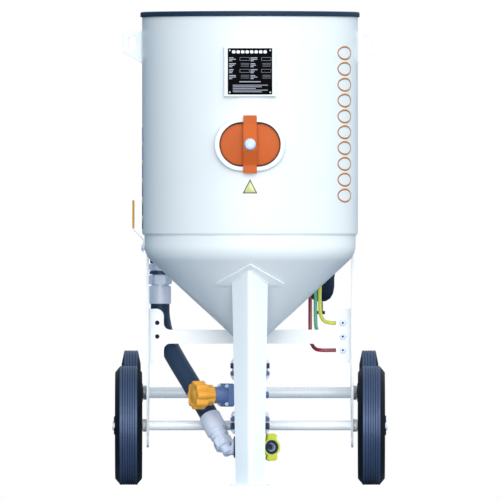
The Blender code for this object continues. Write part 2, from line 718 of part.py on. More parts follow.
def make_ball_valve():
    """The choke valve: its ball, stem, cranked lever and grip turn together about a line along X."""
    place = (RISER_X, RISER_Y, VALVE_Z)
    body = [(0.0125, -0.0307), (0.026, -0.0307), (0.026, -0.014), (0.030, -0.010), (0.030, 0.010)]
    body += [(0.026, 0.014), (0.026, 0.0350), (0.0125, 0.0350), (0.0125, -0.0307)]
    valve = add("ball_valve_body", turned(body[:-1]), STEEL, place)
    join(valve, add("valve_neck", ring(0, 0.0125, 0.018, 0.0395, 20), STEEL, place, -RIGHT))
    ball_r = 0.020
    room_r = ball_r + 0.0015  # the facets of the room stay clear of the ball's corners as it turns
    ball_room = turned([(0, -room_r), *arc_points(room_r, 6), (0, room_r)], 24)
    cut(valve, add("ball_room", ball_room, STEEL, place))
    cut(valve, add("stem_bore", ring(0, 0.0063, 0.010, 0.060, 16), STEEL, place, -RIGHT))

    sphere = turned([(0, -ball_r), *arc_points(ball_r, 6), (0, ball_r)], 16)
    ball = add("ball_valve_ball", sphere, STEEL, place)
    cut(ball, add("ball_bore", ring(0, 0.0125, -0.03, 0.03, 12), STEEL, place))
    join(ball, add("ball_stem", ring(0, 0.0060, 0.0150, 0.0530, 16), STEEL, place, -RIGHT))

    hole_r, sheet, half = 0.0063, 0.0025, 0.010
    near, far = -0.0460, -0.0742
    crank = [(near, -0.014), (near, 0.024), (far, 0.052), (far, 0.130)]
    crank += [(far - sheet, 0.130), (far - sheet, 0.051), (near - sheet, 0.023), (near - sheet, -0.014)]
    lever = add("ball_valve_lever", prism([(x, z) for x, z in crank], 2 * half, -half), STEEL, place, FRONT)
    cut(lever, add("lever_hole", ring(0, hole_r, 0.03, 0.06, 16), STEEL, place, -RIGHT))
    sleeve = block((-0.0784, 0.0550, -0.0125), (-0.0722, 0.1340, 0.0125))
    grip = add("ball_valve_grip", sleeve, AMBER, place, FRONT)
    room = block((-0.0742 - sheet - GAP, 0.04, -half - GAP), (-0.0742 + GAP, 0.1303, half + GAP))
    cut(grip, add("grip_room", room, AMBER, place, FRONT))


def arc_points(radius, steps):
    """Points of a half circle between its two ends on the axis."""
    angles = [math.pi * (step / steps - 0.5) for step in range(1, steps)]
    return [(radius * math.cos(angle), radius * math.sin(angle)) for angle in angles]


# Air line behind the vessel


def make_air_line():
    top = (RISER_X, RISER_Y, AIR_Z)
    header = [(RISER_X, RISER_Y, 0.7003), top, (-0.0355, 0.3503, AIR_Z)]
    tube("header_pipe", bent(header, 0.045), 0.0168, STEEL)

    place = (0, AIR_Y, AIR_Z)
    body = [
        (0, -0.045),
        (0.022, -0.045),
        (0.026, -0.038),
        (0.034, -0.030),
        (0.034, 0.030),
        (0.040, 0.032),
        (0.040, 0.045),
        (0, 0.045),
    ]
    valve = add("air_valve_body", turned(body), SLATE, place)
    join(valve, add("air_nipple", ring(0, 0.0160, 0.02, AIR_Y - SHELL_R - 0.0083, 16), SLATE, place, FRONT))
    silencer = [(0, 0.0453), (0.012, 0.0453), (0.012, 0.055), (0.026, 0.060)]
    silencer += [(0.026, 0.135), (0.020, 0.141), (0, 0.141)]
    add("exhaust_silencer", turned(silencer), BLACK, place)

    start = Vector((FILTER_X - 0.0353, FILTER_Y, FILTER_PORT_Z))
    inlet = [start, start - RIGHT * 0.040, (0.050, AIR_Y, 0.640), (0, AIR_Y, 0.655), (0, AIR_Y, 0.7147)]
    tube("inlet_pipe", bent(inlet, 0.022), 0.0150, STEEL)


def make_filter():
    """The moisture separator: a head with the machine's air inlet coupling, a bowl and a drain tap."""
    place = (FILTER_X, FILTER_Y, 0)
    casting = turned([(0, 0.602), (0.035, 0.602), (0.035, 0.655), (0.028, 0.664), (0, 0.664)])
    head = add("filter_head", casting, SLATE, place)
    port = (FILTER_X, FILTER_Y, FILTER_PORT_Z)
    inlet = [(0, 0.02), (0.015, 0.02), (0.015, 0.050), (0.022, 0.052)]
    inlet += [(0.022, 0.075), (0.012, 0.075), (0.012, 0.055), (0, 0.055)]
    coupling = add("inlet_coupling", turned(inlet, 20), SLATE, port, REAR)
    boss = add("filter_boss", ring(0, 0.019, 0.02, 0.0350, 16), SLATE, port, -RIGHT)
    join(head, coupling, boss)
    bowl = [(0, 0.513), (0.014, 0.515), (0.027, 0.523), (0.0355, 0.537), (0.039, 0.556)]
    bowl += [(0.039, 0.6017), (0.036, 0.6017), (0.036, 0.557), (0.0325, 0.540), (0.025, 0.527)]
    bowl += [(0.013, 0.519), (0, 0.517)]
    add("filter_bowl", turned(bowl), BLACK, place)
    tap = add("filter_drain_tap", ring(0, 0.0060, 0.482, 0.5127, 12), BLACK, place)
    join(tap, add("tap_wings", block((-0.012, -0.004, 0.478), (0.012, 0.004, 0.4875)), BLACK, place))


def make_signal_tubes():
    """Three control tubes from the air valve, down behind the cone, to the fittings in the panel."""
    back = 0.175
    end_x = PORT_X - 0.0165
    runs = {
        "yellow": (YELLOW, 0.196, 0.238, 0.738, PORT_HEIGHTS[0]),
        "green": (GREEN, 0.184, 0.242, 0.761, PORT_HEIGHTS[1]),
        "red": (RED, 0.169, 0.245, 0.784, PORT_HEIGHTS[2]),
    }
    for name, (paint, x, y, high, low) in runs.items():
        knots = [
            (0.0365, 0.357, high),
            (0.075, 0.352, high - 0.004),
            (x - 0.070, y + 0.090, high - 0.020),
            (x - 0.015, y + 0.045, high - 0.075),
            (x, y, high - 0.150),
            (x, y - 0.012, (high + low) / 2 - 0.050),
            (x, y - 0.020, low + 0.060),
            (x + 0.002, y - 0.030, low + 0.026),
            (x + 0.012, back + 0.012, low + 0.006),
            (x + 0.030, back + 0.001, low),
            (end_x, back, low),
        ]
        tube(f"signal_tube_{name}", smooth_route(knots, 0.030), TUBE_R, paint, resolution=2)


def make_bulkhead():
    """Three bulkhead fittings through the right bracket, on one manifold bar behind it."""
    back = PANEL_Y + PANEL_T + GAP
    low = (PORT_X - 0.009, back, PORT_HEIGHTS[-1] - 0.012)
    bar = add("bulkhead_manifold", block(low, (PORT_X + 0.009, 0.184, PORT_HEIGHTS[0] + 0.012)), STEEL)
    for index, height in enumerate(PORT_HEIGHTS):
        place = (PORT_X, 0, height)
        hexagon = ring(0, 0.0075, GAP - PANEL_Y, 0.006 - PANEL_Y, 6)
        nut = add(f"port_nut_{index}", hexagon, STEEL, place, FRONT)
        stem = add(f"port_stem_{index}", ring(0, 0.0060, -0.170, 0.004 - PANEL_Y, 12), STEEL, place, FRONT)
        tube_end = (PORT_X, 0.175, height)
        socket = add(f"port_socket_{index}", ring(0, 0.0075, 0, 0.0162, 12), STEEL, tube_end, -RIGHT)
        join(bar, nut, stem, socket)
        cut(bar, add(f"port_bore_{index}", ring(0, 0.0025, -0.165, -0.1, 8), STEEL, place, FRONT))


# Blast outlet

COUPLING_FACE = Vector((0.061, -0.040, TEE_Z))
COUPLING_AXIS = Vector((0.34, -0.94, 0)).normalized()


def make_blast_outlet():
    turn = COUPLING_FACE - COUPLING_AXIS * 0.0425
    run = ring(0, 0.0175, 0.0250 + GAP, turn.x + 0.004, 20)
    elbow = add("outlet_elbow", run, IRON, at=(0, 0, TEE_Z), along=RIGHT)
    length = (COUPLING_FACE - turn).length - 0.0263
    join(elbow, add("elbow_branch", ring(0, 0.0172, -0.0080, length, 20), IRON, turn, COUPLING_AXIS))

    bore, seat = 0.0105, 0.0198
    shell = [
        (bore, -0.0260),
        (0.0215, -0.0260),
        (0.0215, -0.0160),
        (0.0255, -0.0130),
        (0.0255, 0.0000),
        (seat, 0.0000),
        (seat, -0.0050),
        (bore, -0.0050),
    ]
    coupling = add("blast_coupling", turned(shell, 24), LIME, COUPLING_FACE, COUPLING_AXIS)
    for sign in (1, -1):
        lug = [
            (sign * -0.0150, sign * 0.0210),
            (sign * 0.0130, sign * 0.0210),
            (sign * 0.0150, sign * 0.0340),
            (sign * 0.0060, sign * 0.0385),
            (sign * -0.0130, sign * 0.0370),
        ]
        join(coupling, add(f"claw_{sign}", prism(lug, 0.017, -0.013), LIME, COUPLING_FACE, COUPLING_AXIS))
    add("coupling_gasket", ring(0.0120, seat - GAP, -0.0047, 0.0012, 20), BLACK, COUPLING_FACE, COUPLING_AXIS)


def build():
    make_shell()
    make_bottom_head()
    make_top_head()
    make_rim_trim()
    make_lug("lifting_lug_left", -1)
    make_lug("lifting_lug_right", 1)
    make_popup()
    make_handway()
    make_data_plate()
    make_leg()
    make_leg_pad()
    make_control_panel()
    make_axles()
    for label, side in (("left", -1), ("right", 1)):
        make_side_plate(f"side_plate_{label}", side)
        make_main_wheel(label, side)
        make_rear_wheel(label, side)
    make_push_handle()
    make_outlet_line()
    make_metering_knob()
    make_tee()
    make_pusher_line()
    make_ball_valve()
    make_air_line()
    make_filter()
    make_signal_tubes()
    make_bulkhead()
    make_blast_outlet()


build()
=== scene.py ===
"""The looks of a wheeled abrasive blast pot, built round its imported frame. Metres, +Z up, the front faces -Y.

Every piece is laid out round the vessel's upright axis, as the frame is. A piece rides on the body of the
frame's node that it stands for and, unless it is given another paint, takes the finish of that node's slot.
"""

import json
import math

import bmesh
import bpy
from mathutils import Matrix, Quaternion, Vector

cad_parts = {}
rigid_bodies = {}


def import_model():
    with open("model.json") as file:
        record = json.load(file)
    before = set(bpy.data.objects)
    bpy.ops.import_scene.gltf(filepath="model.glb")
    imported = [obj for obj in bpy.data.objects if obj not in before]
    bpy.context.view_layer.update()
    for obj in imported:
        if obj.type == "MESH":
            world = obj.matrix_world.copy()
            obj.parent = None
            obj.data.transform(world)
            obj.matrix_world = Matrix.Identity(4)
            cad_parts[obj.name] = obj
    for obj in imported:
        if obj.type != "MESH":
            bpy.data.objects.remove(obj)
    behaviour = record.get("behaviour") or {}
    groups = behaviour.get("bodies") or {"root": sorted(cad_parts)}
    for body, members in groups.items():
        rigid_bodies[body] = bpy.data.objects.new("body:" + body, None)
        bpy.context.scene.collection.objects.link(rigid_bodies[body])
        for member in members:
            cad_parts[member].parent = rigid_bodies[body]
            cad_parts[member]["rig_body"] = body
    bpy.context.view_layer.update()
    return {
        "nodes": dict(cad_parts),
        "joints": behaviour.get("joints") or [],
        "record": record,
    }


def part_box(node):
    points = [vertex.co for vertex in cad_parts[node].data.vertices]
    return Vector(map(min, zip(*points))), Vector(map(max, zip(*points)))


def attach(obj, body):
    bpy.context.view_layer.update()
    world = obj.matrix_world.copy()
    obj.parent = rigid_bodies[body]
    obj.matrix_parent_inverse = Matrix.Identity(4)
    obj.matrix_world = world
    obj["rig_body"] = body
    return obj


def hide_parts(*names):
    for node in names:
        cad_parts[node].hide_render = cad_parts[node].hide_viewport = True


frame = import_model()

SLOT_OF = {part["node"]: part["material_slot"] for part in frame["record"]["subparts"]}
BODY_OF = {name: obj["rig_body"] for name, obj in frame["nodes"].items()}
JOINT_AT = {joint["name"]: Vector(joint["pos_m"]) for joint in frame["joints"] if "pos_m" in joint}

shell_low, shell_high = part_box("vessel_shell")
AXIS_Y = (shell_low.y + shell_high.y) / 2  # the vessel's axis
SHELL_R = (shell_high.x - shell_low.x) / 2
SHELL_BOTTOM, SHELL_TOP = shell_low.z, shell_high.z
WALL = 0.006
UP, FRONT, REAR, RIGHT = Vector((0, 0, 1)), Vector((0, -1, 0)), Vector((0, 1, 0)), Vector((1, 0, 0))
ROUND = 192  # steps round the vessel
SMALL_ROUND = 64  # steps round a fitting


def box(node):
    """Lowest and highest corner of a frame node, measured from the vessel's axis."""
    low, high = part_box(node)
    return low - Vector((0, AXIS_Y, 0)), high - Vector((0, AXIS_Y, 0))


def middle(node):
    low, high = box(node)
    return (low + high) / 2


# Materials


def link_noise(tree, scale, detail, stretch=(1, 1, 1)):
    """The factor of a noise over the piece's own coordinates."""
    place = tree.nodes.new("ShaderNodeTexCoord")
    scaled = tree.nodes.new("ShaderNodeMapping")
    scaled.inputs["Scale"].default_value = stretch
    noise = tree.nodes.new("ShaderNodeTexNoise")
    noise.inputs["Scale"].default_value = scale
    noise.inputs["Detail"].default_value = detail
    tree.links.new(place.outputs["Object"], scaled.inputs["Vector"])
    tree.links.new(scaled.outputs["Vector"], noise.inputs["Vector"])
    return noise.outputs["Fac"]


def surface(name, colour, roughness, metallic=0.0, mottle=0.05, spread=0.06, grain=0.1, grain_scale=900,
            grain_depth=0.0002, coat=0.0, specular=0.5, stretch=(1, 1, 1), patch_scale=9):
    """A finish whose colour and roughness drift in soft patches, with a fine bump of the stated grain."""
    paint = bpy.data.materials.new(name)
    paint.use_nodes = True
    tree = paint.node_tree
    shader = tree.nodes["Principled BSDF"]
    shader.inputs["Metallic"].default_value = metallic
    shader.inputs["Specular IOR Level"].default_value = specular
    shader.inputs["Coat Weight"].default_value = coat
    shader.inputs["Coat Roughness"].default_value = 0.08

    blend = tree.nodes.new("ShaderNodeMix")
    blend.data_type = "RGBA"
    blend.inputs["A"].default_value = (*[channel * (1 - mottle) for channel in colour], 1)
    blend.inputs["B"].default_value = (*[min(1, channel * (1 + mottle)) for channel in colour], 1)
    tree.links.new(link_noise(tree, patch_scale, 4, stretch), blend.inputs["Factor"])
    tree.links.new(blend.outputs["Result"], shader.inputs["Base Color"])

    sheen = tree.nodes.new("ShaderNodeMapRange")
    sheen.inputs["From Min"].default_value = 0.3
    sheen.inputs["From Max"].default_value = 0.7
    sheen.inputs["To Min"].default_value = roughness - spread
    sheen.inputs["To Max"].default_value = roughness + spread
    tree.links.new(link_noise(tree, patch_scale * 5, 6, stretch), sheen.inputs["Value"])
    tree.links.new(sheen.outputs["Result"], shader.inputs["Roughness"])

    bump = tree.nodes.new("ShaderNodeBump")
    bump.inputs["Strength"].default_value = grain
    bump.inputs["Distance"].default_value = grain_depth
    tree.links.new(link_noise(tree, grain_scale, 3, stretch), bump.inputs["Height"])
    tree.links.new(bump.outputs["Normal"], shader.inputs["Normal"])
    return paint


TURNED = (1, 1, 30)  # lathe lines run round a turned piece
PAINTS = {
    "enamel": surface("enamel", (0.87, 0.91, 0.92), 0.36, mottle=0.010, grain=0.05, grain_scale=420,
                      coat=0.05,
                      specular=0.25),
    "zinc_steel": surface("zinc_steel", (0.82, 0.86, 0.99), 0.46, 0.10, grain=0.12, stretch=TURNED,
                          patch_scale=30),
    "black_rubber": surface("black_rubber", (0.014, 0.034, 0.072), 0.52, mottle=0.16, grain=0.3,
                            grain_scale=700, specular=0.16),
    "tyre_rubber": surface("tyre_rubber", (0.054, 0.082, 0.155), 0.44, 0.45, mottle=0.12, grain=0.3,
                           grain_scale=500,
                           specular=0.35),
    "black_plastic": surface("black_plastic", (0.008, 0.014, 0.026), 0.48, mottle=0.12, grain=0.25,
                             specular=0.20),
    "orange_enamel": surface("orange_enamel", (0.62, 0.125, 0.026), 0.42, specular=0.12, mottle=0.04,
                             grain=0.12, grain_scale=500),
    "amber_plastic": surface("amber_plastic", (0.86, 0.39, 0.05), 0.42, specular=0.3, mottle=0.06,
                             grain=0.30, grain_scale=650),
    "slate_enamel": surface("slate_enamel", (0.105, 0.165, 0.34), 0.34, mottle=0.10, grain=0.25,
                            grain_scale=420),
    "black_iron": surface("black_iron", (0.016, 0.024, 0.06), 0.44, mottle=0.20, grain=0.55,
                          grain_scale=350),
    "lime_plastic": surface("lime_plastic", (0.66, 0.70, 0.045), 0.38, mottle=0.05, grain=0.25,
                            grain_scale=650),
    "plate_black": surface("plate_black", (0.002, 0.002, 0.003), 0.60, mottle=0.10, stretch=(1, 40, 1),
                           specular=0.03),
    "fibre_gasket": surface("fibre_gasket", (0.80, 0.85, 0.90), 0.70, mottle=0.06, grain=0.5,
                            grain_scale=300),
    "yellow_tube": surface("yellow_tube", (0.86, 0.86, 0.10), 0.26, mottle=0.03, coat=0.4),
    "green_tube": surface("green_tube", (0.12, 0.52, 0.29), 0.26, mottle=0.05, coat=0.4),
    "red_tube": surface("red_tube", (0.33, 0.005, 0.030), 0.26, mottle=0.05, coat=0.4),
}
BRIGHT_STEEL = surface("bright_steel", (0.66, 0.74, 0.92), 0.42, 0.20, grain=0.06, patch_scale=40)
HOSE_BLACK = surface("hose_black", (0.021, 0.043, 0.084), 0.46, mottle=0.10, grain=0.3, grain_scale=700,
                     specular=0.3)
NUT_BLUE = surface("zinc_nut", (0.50, 0.63, 0.88), 0.40, 0.25, grain=0.06, patch_scale=40)
BOWL_NAVY = surface("bowl_navy", (0.010, 0.021, 0.048), 0.45, grain=0.2, specular=0.12)
# A lit copy of the white enamel for the axles and their collars: painted light over the shade of the side
# plates and wheels.
LIT_AXLE_WHITE = surface("lit_axle_white", (0.97, 0.98, 0.98), 0.26, mottle=0.01, grain=0.04, stretch=TURNED,
                     specular=0.6)
# A lit copy of the enamel, whiter than it: painted light on the control panel, which the cone and wheels shade,
# and a painted highlight on the pad's welds.
LIT_ENAMEL_WHITE = surface("lit_enamel_white", (0.96, 0.97, 0.97), 0.36, mottle=0.01, grain=0.05, grain_scale=420)
# A near-black rubber, far darker than the tread: painted shade in the tread grooves and on the sideways-facing
# tyre walls, and in the port bores.
SHADE_BLACK = surface("shade_black", (0.0035, 0.0055, 0.010), 0.55, mottle=0.16, grain=0.3, grain_scale=500,
                  specular=0.10)
DARK_STEEL = surface("dark_steel", (0.05, 0.08, 0.16), 0.38, 0.3, mottle=0.12, grain=0.2)
DECAL_ORANGE = surface("decal_orange", (0.56, 0.21, 0.035), 0.35, mottle=0.02, grain=0.03)
DECAL_YELLOW = surface("decal_yellow", (0.90, 0.89, 0.40), 0.35, mottle=0.03, grain=0.03)
DECAL_DARK = surface("decal_dark", (0.05, 0.05, 0.05), 0.40, mottle=0.05, grain=0.03)
DECAL_BLUE = surface("decal_blue", (0.16, 0.22, 0.45), 0.40, mottle=0.05, grain=0.03)
PLATE_INK = surface("plate_ink", (0.34, 0.36, 0.42), 0.45, mottle=0.05, grain=0.03)
PLATE_BRIGHT = surface("plate_bright", (0.85, 0.87, 0.90), 0.45, mottle=0.03, grain=0.03)


# Shared modelling steps


def rounded(corners, steps=6):
    """The outline through (x, y, radius) corners, each rounded by an arc where its radius isn't 0."""
    outline = []
    for index, (x, y, radius) in enumerate(corners):
        here = Vector((x, y))
        if not radius:
            outline.append(here)
            continue
        back = (Vector(corners[index - 1][:2]) - here).normalized()
        ahead = (Vector(corners[(index + 1) % len(corners)][:2]) - here).normalized()
        half = back.angle(ahead) / 2
        centre = here + (back + ahead).normalized() * radius / math.sin(half)
        start = here + back * radius / math.tan(half) - centre
        end = here + ahead * radius / math.tan(half) - centre
        outline += [centre + radius * start.slerp(end, step / steps) for step in range(steps + 1)]
    return outline


def obround(width, height, steps=24):
    """A round-ended slot shape, wider than it is high."""
    radius = height / 2
    reach = width / 2 - radius
    points = []
    for side in (1, -1):
        for step in range(steps + 1):
            angle = math.pi * (step / steps - 0.5)
            points.append((side * (reach + radius * math.cos(angle)), side * radius * math.sin(angle)))
    return points


def turned(corners, steps=SMALL_ROUND, fine=4):
    """(radius, height, fillet) corners turned about +Z. The profile closes on itself or on the axis."""
    profile = rounded([(*corner, 0)[:3] for corner in corners], fine)
    bm = bmesh.new()
    points = [bm.verts.new((radius, 0, height)) for radius, height in profile]
    edges = [bm.edges.new(pair) for pair in zip(points, points[1:])]
    if corners[0][0] > 0:
        edges.append(bm.edges.new((points[-1], points[0])))
    bmesh.ops.spin(
        bm, geom=points + edges, axis=UP, cent=(0, 0, 0), angle=2 * math.pi, steps=steps, use_merge=True
    )
    bmesh.ops.remove_doubles(bm, verts=bm.verts, dist=1e-6)
    return bm


def band(inner, outer, low, high, fillet=0.0, steps=SMALL_ROUND):
    """A turned ring, or a solid disc where inner is 0, with its outer edges rounded."""
    return turned([(inner, low), (outer, low, fillet), (outer, high, fillet), (inner, high)], steps)


def loft(rings):
    """Faces between rings of points of one count, with both ends closed."""
    bm = bmesh.new()
    loops = [[bm.verts.new(point) for point in ring] for ring in rings]
    for one, other in zip(loops, loops[1:]):
        for index in range(len(one)):
            bm.faces.new((one[index - 1], one[index], other[index], other[index - 1]))
    bm.faces.new(loops[0])
    bm.faces.new(loops[-1])
    return bm


def prism(outline, depth, start=0.0):
    """A flat outline extruded along +Z."""
    return loft([[(x, y, start + rise) for x, y in outline] for rise in (0, depth)])


def block(low, high, radius=0.0):
    """A plate or bar whose upright edges are rounded by a radius."""
    corners = ((low[0], low[1]), (high[0], low[1]), (high[0], high[1]), (low[0], high[1]))
    return prism(rounded([(x, y, radius) for x, y in corners]), high[2] - low[2], low[2])


def tube(line, radius, sides=24):
    """A round bar along a line of points. The radius is one number, or one for each point."""
    radii = radius if isinstance(radius, list) else [radius] * len(line)
    last = len(line) - 1
    across = (line[1] - line[0]).orthogonal()
    rings = []
    for index, here in enumerate(line):
        ahead = (line[min(index + 1, last)] - line[max(index - 1, 0)]).normalized()
        across = (across - ahead * across.dot(ahead)).normalized()
        side = ahead.cross(across)
        turns = [2 * math.pi * step / sides for step in range(sides)]
        rings.append([here + radii[index] * (math.cos(a) * across + math.sin(a) * side) for a in turns])
    return loft(rings)


def bent(corners, radius, steps=12):
    """The line through 3-D corners, with each inner corner turned into an arc."""
    corners = [Vector(corner) for corner in corners]
    line = [corners[0]]
    for before, here, after in zip(corners, corners[1:], corners[2:]):
        back, ahead = (before - here).normalized(), (after - here).normalized()
        half = back.angle(ahead) / 2
        centre = here + (back + ahead).normalized() * radius / math.sin(half)
        start = here + back * radius / math.tan(half) - centre
        end = here + ahead * radius / math.tan(half) - centre
        line += [centre + radius * start.slerp(end, step / steps) for step in range(steps + 1)]
    return line + [corners[-1]]


def smooth_route(knots, spacing):
    """Points about one spacing apart on a smooth curve through the knots."""
    knots = [Vector(knot) for knot in knots]
    ends = [2 * knots[0] - knots[1], *knots, 2 * knots[-1] - knots[-2]]
    line = []
    for before, start, end, after in zip(ends, ends[1:], ends[2:], ends[3:]):
        count = max(1, round((end - start).length / spacing))
        for step in range(count):
            t = step / count
            line.append(
                0.5 * (2 * start + t * (end - before) + t * t * (2 * before - 5 * start + 4 * end - after)
                       + t ** 3 * (3 * start - before - 3 * end + after))
            )
    return line + [knots[-1]]


def circle(radius, height, steps=ROUND):
    """A line round +Z whose last point is its first."""
    turns = [2 * math.pi * step / steps for step in range(steps + 1)]
    return [(radius * math.cos(turn), radius * math.sin(turn), height) for turn in turns]


def weld(line, radius):
    """A weld bead: a thin bar along a line, with the ripples that each pass leaves."""
    ripple = 0.0034
    fine = [Vector(line[0])]
    for start, end in zip(line, line[1:]):
        start, end = Vector(start), Vector(end)
        count = max(1, round((end - start).length / (ripple / 4)))
        fine += [start.lerp(end, (step + 1) / count) for step in range(count)]
    radii = [radius * (0.86 + 0.14 * abs(math.sin(math.pi * index / 4))) for index in range(len(fine))]
    return tube(fine, radii, 10)


def moved(bm, at=(0, 0, 0), along=UP):
    """The shape with its own +Z turned along a direction and its +Y kept up."""
    turn = Vector(along).to_track_quat("Z", "Y") if Vector(along) != UP else Quaternion()
    bmesh.ops.transform(bm, matrix=Matrix.Translation(at) @ turn.to_matrix().to_4x4(), verts=bm.verts)
    return bm


def spun(bm, angle):
    bmesh.ops.rotate(bm, verts=bm.verts, cent=(0, 0, 0), matrix=Matrix.Rotation(angle, 3, "Z"))
    return bm


def merged(*parts):
    whole = bmesh.new()
    for part in parts:
        bmesh.ops.recalc_face_normals(part, faces=part.faces)
        mesh = bpy.data.meshes.new("part")
        part.to_mesh(mesh)
        part.free()
        whole.from_mesh(mesh)
        bpy.data.meshes.remove(mesh)
    return whole


def scratch(bm):
    bmesh.ops.recalc_face_normals(bm, faces=bm.faces)
    mesh = bpy.data.meshes.new("scratch")
    bm.to_mesh(mesh)
    bm.free()
    obj = bpy.data.objects.new("scratch", mesh)
    bpy.context.scene.collection.objects.link(obj)
    return obj


def evaluated(obj, helpers=()):
    """The mesh that an object's modifiers make, with the object and its helpers removed."""
    bpy.context.view_layer.update()
    result = bmesh.new()
    result.from_mesh(obj.evaluated_get(bpy.context.evaluated_depsgraph_get()).to_mesh())
    for used in (obj, *helpers):
        bpy.data.objects.remove(used)
    return result


def combined(base, operation, *others):
    """A shape cut by, joined to or kept inside others."""
    target = scratch(base)
    tools = [scratch(other) for other in others]
    for tool in tools:
        change = target.modifiers.new("boolean", "BOOLEAN")
        change.operation = operation
        change.object = tool
    return evaluated(target, tools)


def cut(base, *others):
    return combined(base, "DIFFERENCE", *others)


def cast(voxel, *parts):
    """Overlapping solids melted into one casting, with soft inside corners."""
    target = scratch(merged(*parts))
    remesh = target.modifiers.new("melt", "REMESH")
    remesh.mode = "VOXEL"
    remesh.voxel_size = voxel
    smooth = target.modifiers.new("smooth", "SMOOTH")
    smooth.factor = 0.5
    smooth.iterations = 3
    return evaluated(target)


def hexagon(corner, low, high):
    """A six-sided nut with its corners turned off at both ends."""
    flat = corner * math.cos(math.pi / 6)
    chamfer = (corner - flat) * 0.75
    limit = [(0, low), (flat, low), (corner, low + chamfer), (corner, high - chamfer), (flat, high),
             (0, high)]
    sides = [(corner * math.cos(math.pi * k / 3), corner * math.sin(math.pi * k / 3)) for k in range(6)]
    return combined(prism(sides, high - low, low), "INTERSECT", turned(limit))


def bolt(size, low, high):
    """A washer, a hexagon head and the stud's domed tip, for a stud of this radius."""
    head = low + 0.0016
    tip = [(0, low), (size, low), (size, high, size * 0.4), (0, high)]
    return merged(band(0, size * 2.1, low, head, 0.0004, 32), hexagon(size * 1.85, head, head + size * 1.5),
                  turned(tip, 24))


def piece(name, bm, nodes=(), like=None, paint=None, at=(0, 0, 0), along=UP, bevel=0.0, sharp=32):
    """One finished object. It stands for the nodes, or only rides with the node that it is like."""
    like = like or nodes[0]
    bmesh.ops.recalc_face_normals(bm, faces=bm.faces)
    mesh = bpy.data.meshes.new(name)
    bm.to_mesh(mesh)
    bm.free()
    mesh.shade_smooth()
    obj = bpy.data.objects.new(name, mesh)
    bpy.context.scene.collection.objects.link(obj)
    obj.location = Vector(at) + Vector((0, AXIS_Y, 0))
    obj.rotation_mode = "QUATERNION"
    if Vector(along) != UP:
        obj.rotation_quaternion = Vector(along).to_track_quat("Z", "Y")
    if bevel:
        edges = obj.modifiers.new("edges", "BEVEL")
        edges.width = bevel
        edges.segments = 3
        edges.limit_method = "ANGLE"
        edges.angle_limit = math.radians(sharp)
        edges.harden_normals = True
    else:
        mesh.set_sharp_from_angle(angle=math.radians(sharp))
    mesh.materials.append(paint or PAINTS[SLOT_OF[like]])
    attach(obj, BODY_OF[like])
    if nodes:
        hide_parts(*nodes)
    return obj


# Camera, light and floor

LIGHTS = (  # direction, the cosines where it starts and is full, and its colour there
    ((0, -1, 0.14), 0.86, 1.0, (0, 0, 0), (5.2, 5.1, 5.0)),  # a soft box round the camera
    ((0.75, -0.20, 0.63), 0.0, 1.0, (0, 0, 0), (0.76, 0.76, 0.74)),  # a wide light high on the right
    ((0, 0, 1), -0.05, 0.25, (0.02, 0.06, 0.11), (0.46, 0.60, 0.72)),  # cool sky over dark ground
)


def make_camera():
    """A level view of the front from far off, which shows the pot almost without perspective."""
    distance, view_width, eye_height = 62.2, 1.4, 0.6588
    lens = bpy.data.cameras.new("camera")
    lens.sensor_width = 36
    lens.lens = lens.sensor_width * distance / view_width
    lens.clip_end = 200
    camera = bpy.data.objects.new("camera", lens)
    camera.location = (0, AXIS_Y - distance, eye_height)
    camera.rotation_euler = (math.radians(90), 0, 0)
    bpy.context.scene.collection.objects.link(camera)
    bpy.context.scene.camera = camera


def make_world():
    """A studio of three soft lights, which the camera sees as plain white."""
    world = bpy.data.worlds.new("studio")
    world.use_nodes = True
    bpy.context.scene.world = world
    bpy.context.scene.view_settings.view_transform = "Standard"
    tree = world.node_tree
    tree.nodes.clear()
    place = tree.nodes.new("ShaderNodeTexCoord")
    total = None
    for aim, start, full, dim, bright in LIGHTS:
        towards = tree.nodes.new("ShaderNodeVectorMath")
        towards.operation = "DOT_PRODUCT"
        towards.inputs[1].default_value = Vector(aim).normalized()
        spread = tree.nodes.new("ShaderNodeMapRange")
        spread.inputs["From Min"].default_value = start
        spread.inputs["From Max"].default_value = full
        blend = tree.nodes.new("ShaderNodeMix")
        blend.data_type = "RGBA"
        blend.inputs["A"].default_value = (*dim, 1)
        blend.inputs["B"].default_value = (*bright, 1)
        light = tree.nodes.new("ShaderNodeBackground")
        tree.links.new(place.outputs["Generated"], towards.inputs[0])
        tree.links.new(towards.outputs["Value"], spread.inputs["Value"])
        tree.links.new(spread.outputs["Result"], blend.inputs["Factor"])
        tree.links.new(blend.outputs["Result"], light.inputs["Color"])
        if total:
            both = tree.nodes.new("ShaderNodeAddShader")
            tree.links.new(total, both.inputs[0])
            tree.links.new(light.outputs["Background"], both.inputs[1])
            total = both.outputs["Shader"]
        else:
            total = light.outputs["Background"]
    backdrop = tree.nodes.new("ShaderNodeBackground")
    backdrop.inputs["Color"].default_value = (1, 1, 1, 1)
    path = tree.nodes.new("ShaderNodeLightPath")
    choice = tree.nodes.new("ShaderNodeMixShader")
    out = tree.nodes.new("ShaderNodeOutputWorld")
    tree.links.new(path.outputs["Is Camera Ray"], choice.inputs[0])
    tree.links.new(total, choice.inputs[1])
    tree.links.new(backdrop.outputs["Background"], choice.inputs[2])
    tree.links.new(choice.outputs["Shader"], out.inputs["Surface"])


